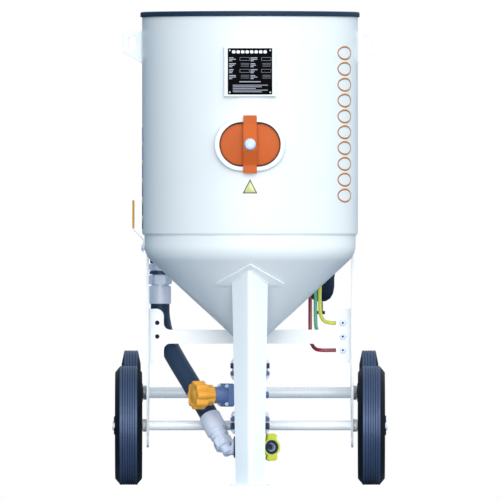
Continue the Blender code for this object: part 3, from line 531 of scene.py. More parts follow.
def make_floor():
    """A small pale floor, as bright as the backdrop where nothing shades it, with a cool bounce."""
    floor = scratch(band(0, 0.9, -0.02, 0, 0.002, 128))
    floor.name = "floor"
    paint = bpy.data.materials.new("pale_floor")
    paint.use_nodes = True
    tree = paint.node_tree
    tree.nodes.clear()
    bounce = tree.nodes.new("ShaderNodeBsdfDiffuse")
    bounce.inputs["Color"].default_value = (0.34, 0.42, 0.52, 1)
    plain = tree.nodes.new("ShaderNodeBsdfDiffuse")
    plain.inputs["Color"].default_value = (0.5, 0.5, 0.5, 1)
    glow = tree.nodes.new("ShaderNodeEmission")
    glow.inputs["Strength"].default_value = 0.76
    bright = tree.nodes.new("ShaderNodeAddShader")
    path = tree.nodes.new("ShaderNodeLightPath")
    choice = tree.nodes.new("ShaderNodeMixShader")
    out = tree.nodes.new("ShaderNodeOutputMaterial")
    tree.links.new(plain.outputs["BSDF"], bright.inputs[0])
    tree.links.new(glow.outputs["Emission"], bright.inputs[1])
    tree.links.new(path.outputs["Is Camera Ray"], choice.inputs[0])
    tree.links.new(bounce.outputs["BSDF"], choice.inputs[1])
    tree.links.new(bright.outputs["Shader"], choice.inputs[2])
    tree.links.new(choice.outputs["Shader"], out.inputs["Surface"])
    floor.data.materials.append(paint)


# Vessel

HEAD_R = SHELL_R - WALL - 0.0005  # the heads slide into the shell
KNUCKLE_TOP, KNUCKLE_R = 0.672, 0.060
CONE_SLOPE = 1.085  # radius gained per height
HANDWAY_Z = JOINT_AT["crossbar_turn"].z


def cone_radius(height, offset=0.0):
    """Radius of the cone's outer face at a height, or of a face that lies further out by offset."""
    turn = math.atan(CONE_SLOPE)
    radius = HEAD_R - KNUCKLE_R * (1 - math.cos(turn))
    knuckle_end = KNUCKLE_TOP - KNUCKLE_R * math.sin(turn)
    return radius - CONE_SLOPE * (knuckle_end - height) + offset * math.hypot(1, CONE_SLOPE)


def cone_height(radius, offset=0.0):
    return (radius - cone_radius(0, offset)) / CONE_SLOPE


def head_arc(offset, steps=14):
    turn = math.atan(CONE_SLOPE)
    angles = [turn * step / steps for step in range(steps + 1)]
    radius = KNUCKLE_R + offset
    return [(HEAD_R - KNUCKLE_R + radius * math.cos(a), KNUCKLE_TOP - radius * math.sin(a)) for a in angles]


def make_shell():
    inner = SHELL_R - WALL
    profile = [(inner, SHELL_BOTTOM, 0.001), (SHELL_R, SHELL_BOTTOM, 0.0015), (SHELL_R, SHELL_TOP),
               (inner, SHELL_TOP)]
    opening = moved(prism(obround(0.1966, 0.1476), 0.2, 0.2), (0, 0, HANDWAY_Z), FRONT)
    piece("shell", cut(turned(profile, ROUND), opening), ["vessel_shell"])
    seam = circle(HEAD_R + 0.0012, SHELL_BOTTOM - 0.0012)
    piece("shell_seam_weld", weld(seam, 0.0026), like="vessel_shell")


def make_bottom_head():
    low, high = box("bottom_head")
    end_r, bore_shade = 0.044, 0.0383
    outer = [(HEAD_R, high.z), *head_arc(0), (end_r, cone_height(end_r), 0.001)]
    inner = [(bore_shade, cone_height(end_r)), (bore_shade, cone_height(bore_shade, -WALL)), *reversed(head_arc(-WALL))]
    piece("cone_head", turned([*outer, *inner, (HEAD_R - WALL, high.z)], ROUND), ["bottom_head"])
    piece("outlet_weld", weld(circle(end_r - 0.002, low.z + 0.001 - 0.003, 48), 0.0034), like="bottom_head")


def dish_line(offset, steps=12):
    """The hopper floor from the fill hole out to its flange."""
    knuckle, crown_r, fill_r = 0.040, 0.560, 0.050
    crown_z = 1.100 + crown_r
    centre_r = HEAD_R - knuckle
    turn = math.asin(centre_r / (crown_r - knuckle))
    centre_z = crown_z - (crown_r - knuckle) * math.cos(turn)
    first = math.asin(fill_r / (crown_r + offset))
    crown = [first + (turn - first) * step / steps for step in range(steps + 1)]
    line = [((crown_r + offset) * math.sin(a), crown_z - (crown_r + offset) * math.cos(a)) for a in crown]
    for step in range(1, steps + 1):
        angle = turn + (math.pi / 2 - turn) * step / steps
        line.append((centre_r + (knuckle + offset) * math.sin(angle),
                     centre_z - (knuckle + offset) * math.cos(angle)))
    return line


def make_top_head():
    flange_top = box("top_head")[1].z
    lower, upper = dish_line(0), dish_line(-WALL)
    profile = [*lower, (lower[-1][0], flange_top), (upper[-1][0], flange_top), *reversed(upper)]
    piece("hopper_floor", turned(profile, ROUND), ["top_head"])
    seam = circle(SHELL_R - WALL - 0.0022, flange_top + 0.001)
    piece("hopper_seam_weld", weld(seam, 0.0028), like="top_head")


def make_rim():
    low, high = box("rim_trim")
    outer, inner, slot = high.x, SHELL_R - WALL - (high.x - SHELL_R), 0.0006
    profile = [
        (outer, low.z, 0.0012),
        (outer, high.z, 0.0045),
        (inner, high.z, 0.0045),
        (inner, low.z, 0.0012),
        (SHELL_R - WALL - slot, low.z),
        (SHELL_R - WALL - slot, SHELL_TOP + slot),
        (SHELL_R + slot, SHELL_TOP + slot),
        (SHELL_R + slot, low.z),
    ]
    piece("rim_edge", turned(profile, ROUND), ["rim_trim"])


def make_lug(node, side):
    """A lifting lug with a round-ended slot, and the welds that hold it edge-on to the shell."""
    thickness, foot, tip = 0.010, SHELL_R + 0.0003, box(node)[1 if side > 0 else 0].x * side
    corners = [(foot, 1.182, 0), (tip, 1.213, 0.006), (tip, 1.272, 0.014), (foot, 1.272, 0)]
    plate = prism([(side * x, z) for x, z in rounded(corners)], thickness, -thickness / 2)
    hole = rounded([(x, z, 0.0118) for x,
                    z in ((0.317, 1.2195), (0.341, 1.2195), (0.341, 1.260), (0.317, 1.260))])
    slot = prism([(side * x, z) for x, z in hole], 0.03, -0.015)
    piece(f"{node}_plate", cut(plate, slot), [node], along=FRONT, bevel=0.0011)
    beads = []
    for edge in (-1, 1):
        y = edge * (thickness / 2 + 0.001)
        beads.append(weld([(side * (foot + 0.0005), y, 1.1835), (side * (foot + 0.0005), y, 1.271)], 0.0026))
    piece(f"{node}_welds", merged(*beads), like=node)


def make_popup():
    seat = [(0.0497, 1.0955, 0.001), (0.0497, 1.112, 0.003), (0.040, 1.112, 0.002), (0.038, 1.108, 0.001),
            (0.046, 1.0955)]
    piece("popup_seat_ring", turned(seat), ["popup_seat"])
    low, high = box("popup_valve")
    plug = [
        (0, low.z),
        (0.008, low.z, 0.001),
        (0.008, 1.044, 0.002),
        (0.040, 1.044, 0.002),
        (0.0455, 1.048, 0.002),
        (0.0455, 1.0655, 0.005),
        (0.014, high.z - 0.002, 0.008),
        (0, high.z),
    ]
    piece("popup_plug", turned(plug), ["popup_valve"])


# Handway


def make_handway():
    centre = (0, 0, HANDWAY_Z)
    face = -box("handway_ring")[0].y
    hole = prism(obround(0.171, 0.124), 0.1, face - 0.08)
    ring = cut(prism(obround(0.196, 0.147), 0.050, face - 0.050), hole)
    piece("handway_frame", ring, ["handway_ring"], at=centre, along=FRONT, bevel=0.0012)

    bead = []
    for x, z in [*obround(0.1985, 0.1495), obround(0.1985, 0.1495)[0]]:
        bead.append((x, -math.sqrt(SHELL_R ** 2 - x * x), HANDWAY_Z + z))
    piece("handway_weld", weld(bead, 0.0019), like="handway_ring")

    # A thin dark band round the ring's outer edge: a painted shadow line that outlines the ring.
    line = cut(prism(obround(0.1966, 0.1476), 0.0010, face - 0.0022),
               prism(obround(0.1940, 0.1450), 0.1, face - 0.08))
    piece("handway_shadow_line", line, like="handway_ring", paint=DARK_STEEL, at=centre, along=FRONT)

    room = prism(obround(0.1686, 0.1186), 0.1, face - 0.08)
    gasket = cut(prism(obround(0.1708, 0.1238), 0.0500, face - 0.050), room)
    piece("handway_seal", gasket, ["handway_gasket"], at=centre, along=FRONT, bevel=0.0004)

    back, front, edge, crown = 0.055, 0.006, 0.004, 0.0035
    rings = [(0.0, face - back), (0.0, face - front - edge)]
    rings += [(edge * (1 - math.cos(a)), face - front - edge * (1 - math.sin(a)))
              for a in (0.4, 0.8, 1.2, 1.57)]
    deep = 0.052
    for step in range(1, 13):
        inset = edge + (deep - edge) * step / 12
        rings.append((inset, face - front + crown * math.sin(math.pi / 2 * step / 12)))
    lid = loft([[(x, y, height) for x, y in obround(0.168 - 2 * i, 0.118 - 2 * i)] for i, height in rings])
    flange = prism(obround(0.186, 0.137), 0.008, face - 0.0583)
    stud = band(0, 0.0078, face - 0.02, 0.362, 0.001, 32)
    threads = [band(0, 0.0083, z, z + 0.0009, 0.0004, 32) for z in [0.3555 + 0.0016 * k for k in range(4)]]
    piece("handway_lid", merged(lid, flange), ["handway_cover"], at=centre, along=FRONT, sharp=40)
    piece("handway_stud", merged(stud, *threads), like="handway_cover", paint=BRIGHT_STEEL, at=centre,
          along=FRONT)

    arch = [(-0.081, 0.0003, 0), (-0.054, 0.0003, 0.008), (-0.034, 0.014, 0.008)]
    top = [(-0.017, 0.027, 0.003), (-0.058, 0.010, 0.003), (-0.081, 0.010, 0)]
    outline = [*arch, *[(-z, rise, r) for z, rise, r in reversed(arch)]]
    outline += [*[(-z, rise, r) for z, rise, r in reversed(top)], *top]
    half = 0.019
    bar = prism(rounded([(-(face + rise), z, r) for z, rise, r in outline]), 2 * half, -half)
    bar = cut(bar, moved(band(0, 0.009, 0.3, 0.4), along=-RIGHT))
    piece("handway_bar", bar, ["handway_crossbar"], at=centre, along=RIGHT, bevel=0.0009, sharp=40)

    low = face + 0.0273
    flange = turned([
        (0.0088, low),
        (0.0165, low, 0.0008),
        (0.0165, low + 0.0022, 0.0008),
        (0.0132, low + 0.0048),
        (0.0088, low + 0.0048),
    ])
    nut = cut(hexagon(0.0139, low + 0.0035, low + 0.0145), band(0, 0.0088, 0.3, 0.4))
    piece("handway_flange_nut", merged(flange, nut), ["handway_nut"], paint=NUT_BLUE, at=centre, along=FRONT)


def make_data_plate():
    low, high = box("data_plate_bracket")
    half, front, sheet = high.x, -low.y, 0.002
    back = math.sqrt(SHELL_R ** 2 - half ** 2) + 0.0010
    outer = [(-half, back, 0), (-half, front, 0.0035), (half, front, 0.0035), (half, back, 0)]
    inner = [(half - sheet, back + 0.0006, 0), (half - sheet, front - sheet, 0.0015)]
    channel = outer + inner + [(-x, y, r) for x, y, r in reversed(inner)]
    bracket = prism([(x, -y) for x, y in rounded(channel)], high.z - low.z, low.z)
    piece("plate_holder", bracket, ["data_plate_bracket"], bevel=0.0004, sharp=40)

    low, high = box("data_plate")
    plate = prism(rounded([(low.x, low.z, 0.002), (high.x, low.z, 0.002), (high.x, high.z, 0.002),
                           (low.x, high.z, 0.002)]),
                  0.0009, -high.y)
    piece("rating_plate", plate, ["data_plate"], along=FRONT, bevel=0.0002)

    ink = 0.00022
    face = -low.y - 0.0001

    def bar(x, z, width, height):
        return block((x, z - height, face), (x + width, z, face + ink), min(width, height) * 0.3)

    title = [bar(-0.050 + 0.0125 * k, high.z - 0.0060, 0.0095, 0.0085) for k in range(8)]
    lines, frames = [], []
    for column, x in enumerate((low.x + 0.0035, 0.0015)):
        for row in range(4):
            top = high.z - 0.0255 - 0.0165 * row
            for line, width in enumerate((0.013 + 0.006 * ((row + column) % 2), 0.019 - 0.004 * (row % 3),
                                          0.009)):
                lines.append(bar(x, top - 0.0042 * line, width, 0.0024))
            left, right = x + 0.030, x + 0.0565
            if row % 2 == 0:
                frames += [bar(left, top, right - left, 0.0006),
                           bar(left, top - 0.0085, right - left, 0.0006)]
                frames += [bar(left, top, 0.0006, 0.0091), bar(right, top, 0.0006, 0.0091)]
            else:
                frames += [bar(left + 0.003, top - 0.004 * k, right - left - 0.003, 0.0006)
                           for k in range(3)]
    lines.append(bar(-0.030, low.z + 0.0370, 0.060, 0.0028))
    for row in range(5):
        lines.append(bar(low.x + 0.014, low.z + 0.0270 - 0.0046 * row, 0.098 - 0.017 * (row % 3), 0.0019))
    piece("plate_title_bars", merged(*title), like="data_plate", paint=PLATE_BRIGHT, along=FRONT)
    piece("plate_line_bars", merged(*lines), like="data_plate", paint=PLATE_INK, along=FRONT)
    piece("plate_frames", merged(*frames), like="data_plate", paint=PLATE_INK, along=FRONT)
    for index, (x, z) in enumerate(((-1, -1), (1, -1), (1, 1), (-1, 1))):
        dome = turned([(0, face - 0.0002), (0.0024, face - 0.0002), (0.0024, face + 0.0004, 0.0002),
                       (0.0012, face + 0.0015, 0.001), (0, face + 0.0017)], 24)
        place = (x * 0.0565, 0, (low.z + high.z) / 2 + z * 0.0585)
        piece(f"plate_rivet_{index}", dome, like="data_plate", paint=BRIGHT_STEEL, at=place, along=FRONT)


def decal(name, outlines, paint, like="vessel_shell", lift=0.0003):
    """Flat (arc, height) outlines laid round the shell. The arc is measured from the front, to the right."""
    sheets = []
    for outline in outlines:
        flat = bmesh.new()
        flat.faces.new([flat.verts.new((arc, 0, height)) for arc, height in outline])
        low, high = min(arc for arc, _ in outline), max(arc for arc, _ in outline)
        steps = int((high - low) / 0.006)
        for step in range(1, steps + 1):
            place = low + (high - low) * step / (steps + 1)
            everything = [*flat.verts, *flat.edges, *flat.faces]
            bmesh.ops.bisect_plane(flat, geom=everything, plane_co=(place, 0, 0), plane_no=RIGHT)
        for vert in flat.verts:
            angle, radius = vert.co.x / SHELL_R, SHELL_R + lift
            vert.co = (radius * math.sin(angle), -radius * math.cos(angle), vert.co.z)
        sheets.append(flat)
    whole = bmesh.new()
    for flat in sheets:
        mesh = bpy.data.meshes.new("sheet")
        flat.to_mesh(mesh)
        flat.free()
        whole.from_mesh(mesh)
        bpy.data.meshes.remove(mesh)
    for face in whole.faces:
        face.normal_update()
        if face.normal.xy.dot(face.calc_center_median().xy) < 0:
            face.normal_flip()
    obj = piece(name, whole, like=like, paint=paint)
    thick = obj.modifiers.new("film", "SOLIDIFY")
    thick.thickness = 0.0002
    thick.offset = 1
    return obj


def rectangle(arc, height, width, tall):
    return [(arc, height), (arc + width, height), (arc + width, height + tall), (arc, height + tall)]


def ring_outline(arc, height, across, tall, stroke, steps=28):
    """Quads that make an oval outline of an even stroke."""
    quads = []
    for step in range(steps):
        corners = []
        for angle, inset in ((step, 0), (step + 1, 0), (step + 1, stroke), (step, stroke)):
            turn = 2 * math.pi * angle / steps
            corners.append((arc + (across - inset) * math.cos(turn),
                            height + (tall - inset) * math.sin(turn)))
        quads.append(corners)
    return quads


def make_decals():
    """Plain colour blocks and lines, with no words, marks or pictures."""
    decal("triangle_border", [[(-0.0205, 0.8165), (0.0205, 0.8165), (0, 0.8560)]], DECAL_DARK)
    decal("triangle_field", [[(-0.0165, 0.8188), (0.0165, 0.8188), (0, 0.8508)]], DECAL_YELLOW, lift=0.0006)
    first, last = (SHELL_R * math.asin(x / SHELL_R) for x in (0.244, 0.282))
    low, high, stroke, count = 0.789, 1.231, 0.0050, 10
    centre, reach, pitch = (first + last) / 2, (last - first) / 2, (high - low) / count
    marks = []
    for index in range(count):
        marks += ring_outline(centre, low + pitch * (index + 0.5), reach, 0.45 * pitch, stroke)
    decal("side_ring_column", marks, DECAL_ORANGE)
    side = -SHELL_R * math.radians(91)
    decal("side_panel_blue", [rectangle(side, 0.718, 0.046, 0.284)], DECAL_BLUE)
    decal("side_panel_blocks", [rectangle(side + 0.004, 0.735 + 0.052 * k, 0.038, 0.020) for k in range(5)],
          DECAL_YELLOW, lift=0.0006)


# Leg and frame

CREASE_Y = -0.2600
PAD = 0.0049  # the leg stands off the cone by its pad and a clearance


def leg_section(half_width, height):
    sheet = 0.005
    end = sheet / math.sqrt(2)
    wings = [
        (half_width, CREASE_Y + half_width, 0.0006),
        (half_width - end, CREASE_Y + half_width + end, 0.0006),
        (0, CREASE_Y + 2 * end, 0.007),
        (end - half_width, CREASE_Y + half_width + end, 0.0006),
        (-half_width, CREASE_Y + half_width, 0.0006),
    ]
    return [(x, y, height) for x, y in rounded([(0, CREASE_Y, 0.012), *wings], 8)]


def make_leg():
    foot_top = 0.0053
    stock = loft([leg_section(0.040, foot_top - 0.001), leg_section(0.0515, 0.640)])
    cone = turned([(0, 0.45), (cone_radius(0.45, PAD), 0.45), (cone_radius(0.66, PAD), 0.66), (0, 0.66)],
                  ROUND)
    low, high = box("front_leg")
    foot = block((low.x, low.y, 0), (high.x, CREASE_Y + 0.062, foot_top), 0.003)
    piece("leg_fold", cut(stock, cone), ["front_leg"], bevel=0.0007, sharp=38)
    piece("leg_foot_plate", foot, like="front_leg", bevel=0.0009, sharp=38)
    beads = []
    for side in (-1, 1):
        line = []
        for step in range(25):
            reach = 0.004 + 0.0455 * step / 24
            y = CREASE_Y + reach
            line.append((side * reach, y - 0.0004, cone_height(math.hypot(reach, y), PAD) - 0.0006))
        beads.append(weld(line, 0.0021))
        beads.append(weld([(side * 0.006, CREASE_Y + 0.0068, foot_top),
                           (side * 0.040, CREASE_Y + 0.0405, foot_top)], 0.0022))
    piece("leg_welds", merged(*beads), like="front_leg")

    bottom, top, lift = 0.52, 0.63, 0.0006
    shell = [(cone_radius(z, d), z) for d,
             z in ((lift, bottom), (lift, top), (0.0046, top), (0.0046, bottom))]
    chevron = [(0, 0.619, 0.004), (0.094, 0.5645, 0.002), (0.090, 0.5585, 0), (-0.090, 0.5585, 0),
               (-0.094, 0.5645, 0.002)]
    outline = moved(prism(rounded(chevron), 0.4, 0.05), along=FRONT)
    pad = combined(turned(shell, ROUND), "INTERSECT", outline)
    piece("cone_pad", pad, ["leg_pad"], bevel=0.0016, sharp=38)
    beads = []
    for side in (-1, 1):
        line = []
        for step in range(13):
            x, z = side * 0.0935 * step / 12, 0.6185 - 0.0540 * step / 12
            line.append((x, -math.sqrt(cone_radius(z, 0.0034) ** 2 - x * x), z))
        beads.append(weld(line, 0.0021))
    # The pad's welds take the lit enamel copy: a painted highlight that draws the pad's top edge as a thin
    # bright line.
    piece("pad_weld", merged(*beads), like="leg_pad", paint=LIT_ENAMEL_WHITE)


def make_side_plate(node, side):
    main, rear = JOINT_AT["main_wheel_left_spin"], JOINT_AT["tilt_wheel_left_spin"]
    rear_y, main_y = rear.y - AXIS_Y, main.y - AXIS_Y
    corners = [
        (0.088, 0.700, 0),
        (0.088, 0.300, 0.05),
        (0.097, 0.105, 0.02),
        (0.165, 0.105, 0.03),
        (rear_y + 0.02, rear.z - 0.046, 0.035),
        (rear_y + 0.055, rear.z + 0.010, 0.035),
        (rear_y, rear.z + 0.050, 0.035),
        (0.205, 0.500, 0.06),
        (0.190, 0.700, 0),
    ]
    low, high = box(node)
    plate = prism(rounded(corners, 12), high.x - low.x, low.x)
    holes = [moved(band(0, radius, -0.4, 0.4), (0, y, z), RIGHT) for y, z,
             radius in ((main_y, main.z, 0.0138), (rear_y, rear.z, 0.0158))]
    piece(f"{node}_sheet", cut(moved(plate, along=RIGHT), *holes), [node], bevel=0.0009)
    bead = []
    for y in (0.092, 0.186):
        edge = high.x if side > 0 else low.x
        bead.append(weld([(edge, y, 0.664), (edge, y, 0.6985)], 0.0022))
    piece(f"{node}_welds", merged(*bead), like=node)


PORT_X = 0.2604
PORT_HEIGHTS = (0.4544, 0.4160, 0.3777)


def make_control_panel():
    low, high = box("control_panel")
    inner = 0.242
    upper = [(high.x, high.z, 0), (inner, high.z, 0.021), (inner, 0.435, 0.018)]
    lower = [(inner, 0.396, 0.018), (inner, low.z, 0.021), (high.x, low.z, 0)]
    far = [*[(-x, z, r) for x, z, r in reversed(upper)], *[(-x, z, r) for x, z, r in reversed(lower)]]
    sheet = prism(rounded([*upper, *far, *lower], 10), high.y - low.y, -high.y)
    holes = [moved(band(0, 0.0064, -0.2, -0.1, 0, 40), (side * PORT_X, z, 0)) for side in (-1, 1)
             for z in PORT_HEIGHTS]
    # The panel takes the lit enamel copy: painted light over the shade that the cone and wheels cast on it.
    piece("panel_sheet", cut(sheet, *holes), ["control_panel"], paint=LIT_ENAMEL_WHITE, along=FRONT, bevel=0.0007)


def make_axle(node, radius, collar, joint):
    """A bar across both side plates, with chamfered ends and a collar inside each wheel."""
    low, high = box(node)
    place = (0, JOINT_AT[joint].y - AXIS_Y, JOINT_AT[joint].z)
    bar = band(0, radius, low.x, high.x, 0.0016)
    plate_face, wheel_face = 0.2903, 0.3010
    rings = []
    for side in (-1, 1):
        ends = sorted((side * plate_face, side * wheel_face))
        rings.append(band(radius - 0.001, collar, *ends, 0.0012))
    # The bar and collars take the lit white: painted light where the side plates and wheels shade them.
    piece(f"{node}_bar", merged(bar, *rings), [node], paint=LIT_AXLE_WHITE, at=place, along=RIGHT)


def make_tread(name, node, place, radius, land, edges):
    """Raised ribs round the carcass, between grooves at the stated shares of the half width."""
    ribs = []
    ends = [-1, *edges, 1]
    for start, end in zip(ends, ends[1:]):
        low, high = start * land + 0.0006, end * land - 0.0006
        ribs.append(band(radius - 0.004, radius, low, high, 0.0005, ROUND))
    piece(name, merged(*ribs), [node], at=place, along=RIGHT, sharp=50)


def make_main_wheel(label, side):
    node = f"main_tyre_{label}"
    place = JOINT_AT[f"main_wheel_{label}_spin"] - Vector((0, AXIS_Y, 0))
    radius, half, land, shoulder, bore_shade = place.z, 0.0378, 0.0252, 0.1490, 0.0600
    wall = [
        (bore_shade, 0.0330, 0),
        (0.0700, 0.0330, 0.001),
        (0.0740, half - 0.0012, 0.002),
        (0.1180, half - 0.0002, 0.001),
        (0.1195, half - 0.0016, 0.0005),
        (0.1215, half - 0.0016, 0.0005),
        (0.1230, half, 0.001),
        (shoulder, half, 0.003),
    ]
    profile = [(r, -x, f) for r, x, f in wall] + [(radius - 0.0020, -land, 0.0008)]
    profile += [(radius - 0.0020, land, 0.0008)] + [(r, x, f) for r, x, f in reversed(wall)]
    # The carcass shows in the grooves between the tread ribs and on the tyre walls, in near-black painted
    # shade.
    piece(f"{node}_carcass", turned(profile, ROUND, 3), like=node, paint=SHADE_BLACK, at=place, along=RIGHT,
          sharp=50)
    make_tread(f"{node}_tread", node, place, radius, land, (-0.66, -0.38, -0.10, 0.16, 0.42, 0.70))

    rim, web, boss, bearing = bore_shade - 0.0004, 0.012, 0.0415, 0.0139
    inner_end, outer_end = sorted((-side * 0.0385, side * boss))
    disc = [(bearing, -web), (0.050, -web, 0.003), (0.053, -0.030, 0.001), (rim, -0.030, 0.001)]
    disc += [(rim, 0.030, 0.001), (0.053, 0.030, 0.001), (0.050, web, 0.003), (bearing, web)]
    sleeve = [(bearing, inner_end), (0.027, inner_end, 0.002), (0.030, 0, 0), (0.029, outer_end, 0.002)]
    sleeve.append((bearing, outer_end))
    slots = [
        block((-0.0085, -0.04, side * 0.0388), (0.0085, 0.04, side * 0.05)),
        block((-0.04, -0.0085, side * 0.0388), (0.04, 0.0085, side * 0.05)),
    ]
    ribs = []
    for index in range(8):
        rib = block((0.026, -0.002, -0.026), (0.0535, 0.002, 0.026), 0.0006)
        ribs.append(spun(rib, math.pi / 4 * index))
    hub = merged(turned(disc, 96), cut(turned(sleeve, 96), *slots), *ribs)
    piece(f"main_hub_{label}_moulding", hub, [f"main_hub_{label}"], at=place, along=RIGHT)


def make_rear_wheel(label):
    node = f"rear_wheel_{label}"
    place = JOINT_AT[f"tilt_wheel_{label}_spin"] - Vector((0, AXIS_Y, 0))
    radius, half, land, wall_r, bore_shade = 0.119, 0.027, 0.0194, 0.081, 0.0158
    wall = [(0.0505, 0.0215, 0.001), (0.0560, 0.0250, 0.002), (wall_r, half, 0.003)]
    profile = [(r, -x, f) for r, x, f in wall] + [(radius - 0.0020, -land, 0.0008)]
    profile += [(radius - 0.0020, land, 0.0008)] + [(r, x, f) for r, x, f in reversed(wall)]
    # The carcass shows in the grooves between the tread ribs and on the tyre walls, in near-black painted
    # shade.
    piece(f"{node}_carcass", turned(profile, 144, 3), like=node, paint=SHADE_BLACK, at=place, along=RIGHT,
          sharp=50)
    make_tread(f"{node}_tread", node, place, radius, land, (-0.6, -0.2, 0.2, 0.6))
    hub = [(bore_shade, -0.033), (0.026, -0.033, 0.002), (0.030, -0.014, 0.002), (0.048, -0.012, 0.002)]
    hub.append((0.0503, -0.0205, 0.001))
    hub += [(r, -x, *f) for r, x, *f in reversed(hub)]
    piece(f"{node}_hub", turned(hub, 96), like=node, paint=PAINTS["black_plastic"], at=place, along=RIGHT)


def make_push_handle():
    reach, height, radius = 0.200, middle("push_handle").z, 0.016
    back = box("push_handle")[1].y - radius
    start = math.sqrt(SHELL_R ** 2 - reach ** 2) - 0.012
    corners = [(-reach, start, height), (-reach, back, height), (reach, back, height),
               (reach, start, height)]
    bar = tube(bent(corners, 0.060, 16), radius, 40)
    inside = band(0, SHELL_R + 0.0003, height - 0.05, height + 0.05, 0, ROUND)
    piece("handle_tube", cut(bar, inside), ["push_handle"], sharp=50)
    beads = []
    for side in (-1, 1):
        line = []
        for step in range(33):
            turn = 2 * math.pi * step / 32
            x = side * reach + (radius + 0.0008) * math.cos(turn)
            line.append((x, math.sqrt(SHELL_R ** 2 - x * x), height + (radius + 0.0008) * math.sin(turn)))
        beads.append(weld(line, 0.0026))
    piece("handle_welds", merged(*beads), like="push_handle")


# Outlet line

METER_Z = JOINT_AT["metering_knob_turn"].z
METER_AXIS = Vector((-0.914, -0.407, 0)).normalized()
TEE_Z = middle("blast_coupling").z
FLANGE_R, STUD_CIRCLE = 0.055, 0.0462


def flange_bolts(low, high, size=0.0036):
    """Four studs round a flange pair, with a nut above and below."""
    bolts = []
    for index in range(4):
        angle = math.pi / 2 * index
        at = (STUD_CIRCLE * math.cos(angle), STUD_CIRCLE * math.sin(angle), 0)
        bolts.append(moved(bolt(size, high, high + 0.0125), at))
        bolts.append(moved(bolt(size, 0, 0.0125), (at[0], at[1], low), -UP))
    return bolts


def make_outlet_line():
    spigot = [(0.038, 0.415), (0.038, 0.352, 0.003), (0.0435, 0.345, 0.001), (0.0435, 0.342, 0),
              (FLANGE_R, 0.342, 0.0012),
              (FLANGE_R, 0.327, 0.0012), (0.030, 0.327), (0.030, 0.415)]
    piece("outlet_spigot", turned(spigot), ["outlet_pipe"])
    for node, outline in {"upper_gasket": (0.3223, 0.3267), "lower_gasket": (0.1750, 0.1790)}.items():
        piece(f"{node}_ring", band(0.030, 0.050, *outline, 0.0006), [node])
    for name, low, high in (("upper", 0.308, 0.342), ("lower", 0.1568, 0.1935)):
        piece(f"{name}_flange_bolts", merged(*flange_bolts(low, high)), like="metering_bonnet",
              paint=PAINTS["zinc_steel"])

    place = (0, 0, METER_Z)
    body = [(0, 0.305), (0.042, 0.305), (0.042, 0.198), (0, 0.198)]
    half = 0.0325
    square = rounded([(-half, -half, 0.008), (half, -half, 0.008), (half, half, 0.008),
                      (-half, half, 0.008)], 8)
    chest = cast(0.0015, turned(body), moved(band(0, 0.029, 0.0, 0.068), place, METER_AXIS),
                 moved(prism(square, 0.0085, 0.062), place, METER_AXIS),
                 moved(band(0, 0.016, 0.0, 0.044), place, -METER_AXIS))
    rims = [turned([(0.030, 0.322), (0.050, 0.322, 0.0005), (FLANGE_R, 0.317, 0.001),
                    (FLANGE_R, 0.308, 0.001), (0.030, 0.304)]),
            turned([(0.030, 0.199), (0.050, 0.1935, 0.001), (FLANGE_R, 0.1885, 0.001),
                    (FLANGE_R, 0.1793, 0.001), (0.030, 0.1793)])]
    plug = moved(hexagon(0.011, 0.042, 0.054), place, -METER_AXIS)
    piece("metering_chest", merged(chest, *rims, plug), ["metering_body"], sharp=40)

    plate = prism(square, 0.009, 0.0708)
    neck = turned([
        (0.007, 0.075),
        (0.0300, 0.079, 0.0006),
        (0.0300, 0.0828, 0.0006),
        (0.0275, 0.0836, 0.0004),
        (0.0275, 0.0868, 0.0006),
        (0.0240, 0.0882, 0.0006),
        (0.0235, 0.0920, 0.001),
        (0.0235, 0.1120, 0.001),
        (0.0210, 0.1148, 0.001),
        (0.007, 0.1148),
    ])
    piece("bonnet", merged(plate, neck), ["metering_bonnet"], at=place, along=METER_AXIS, bevel=0.0006,
          sharp=40)
    reach = 0.0252
    for index, (x, y) in enumerate(((-reach, -reach), (reach, -reach), (reach, reach), (-reach, reach))):
        spot = Vector(place) + x * Vector((0.407, -0.914, 0)).normalized() + Vector((0, 0, y))
        piece(f"bonnet_bolt_{index}", moved(bolt(0.0028, 0.0798, 0.0880)), like="metering_bonnet",
              paint=BRIGHT_STEEL,
              at=spot, along=METER_AXIS)


def lobed(radius, lobes, depth, steps=192):
    """An outline of round lobes with narrower flutes between them."""
    outline = []
    for step in range(steps):
        angle = 2 * math.pi * step / steps
        wave = (1 + math.cos(lobes * angle)) / 2
        reach = radius - depth * (1 - wave ** 0.45)  # a power under 1 narrows the flutes
        outline.append((reach * math.cos(angle), reach * math.sin(angle)))
    return outline


def make_metering_knob():
    """A lobed star knob on a fluted neck, with rounded rims and a dished end."""
    layers = [
        (0.1155, 0.0270, 0.003),
        (0.1170, 0.0288, 0.004),
        (0.1385, 0.0290, 0.0045),
        (0.1398, 0.0300, 0.0050),
        (0.1402, 0.0385, 0.0085),
        (0.1420, 0.0400, 0.0090),
        (0.1725, 0.0400, 0.0090),
        (0.1745, 0.0390, 0.0085),
        (0.1755, 0.0370, 0.0080),
        (0.1755, 0.0310, 0.0040),
        (0.1738, 0.0290, 0.0030),
        (0.1738, 0.0130, 0.0005),
        (0.1750, 0.0115, 0.0003),
        (0.1750, 0.0030, 0.0),
    ]
    rings = [[(x, y, height) for x, y in lobed(radius, 8, depth)] for height, radius, depth in layers]
    spindle = band(0, 0.0060, 0.0150, 0.118, 0.0005, 32)
    piece("star_knob", merged(loft(rings), spindle), ["metering_knob"], at=(0, 0, METER_Z), along=METER_AXIS,
          sharp=48)


LOWER_BEND = Vector((-0.0645, 0, 0.098))  # where the pusher line's elbow turns up towards the hose
HOSE_AXIS = Vector((-0.398, 0.500, 0.771)).normalized()
HOSE_R = 0.0265


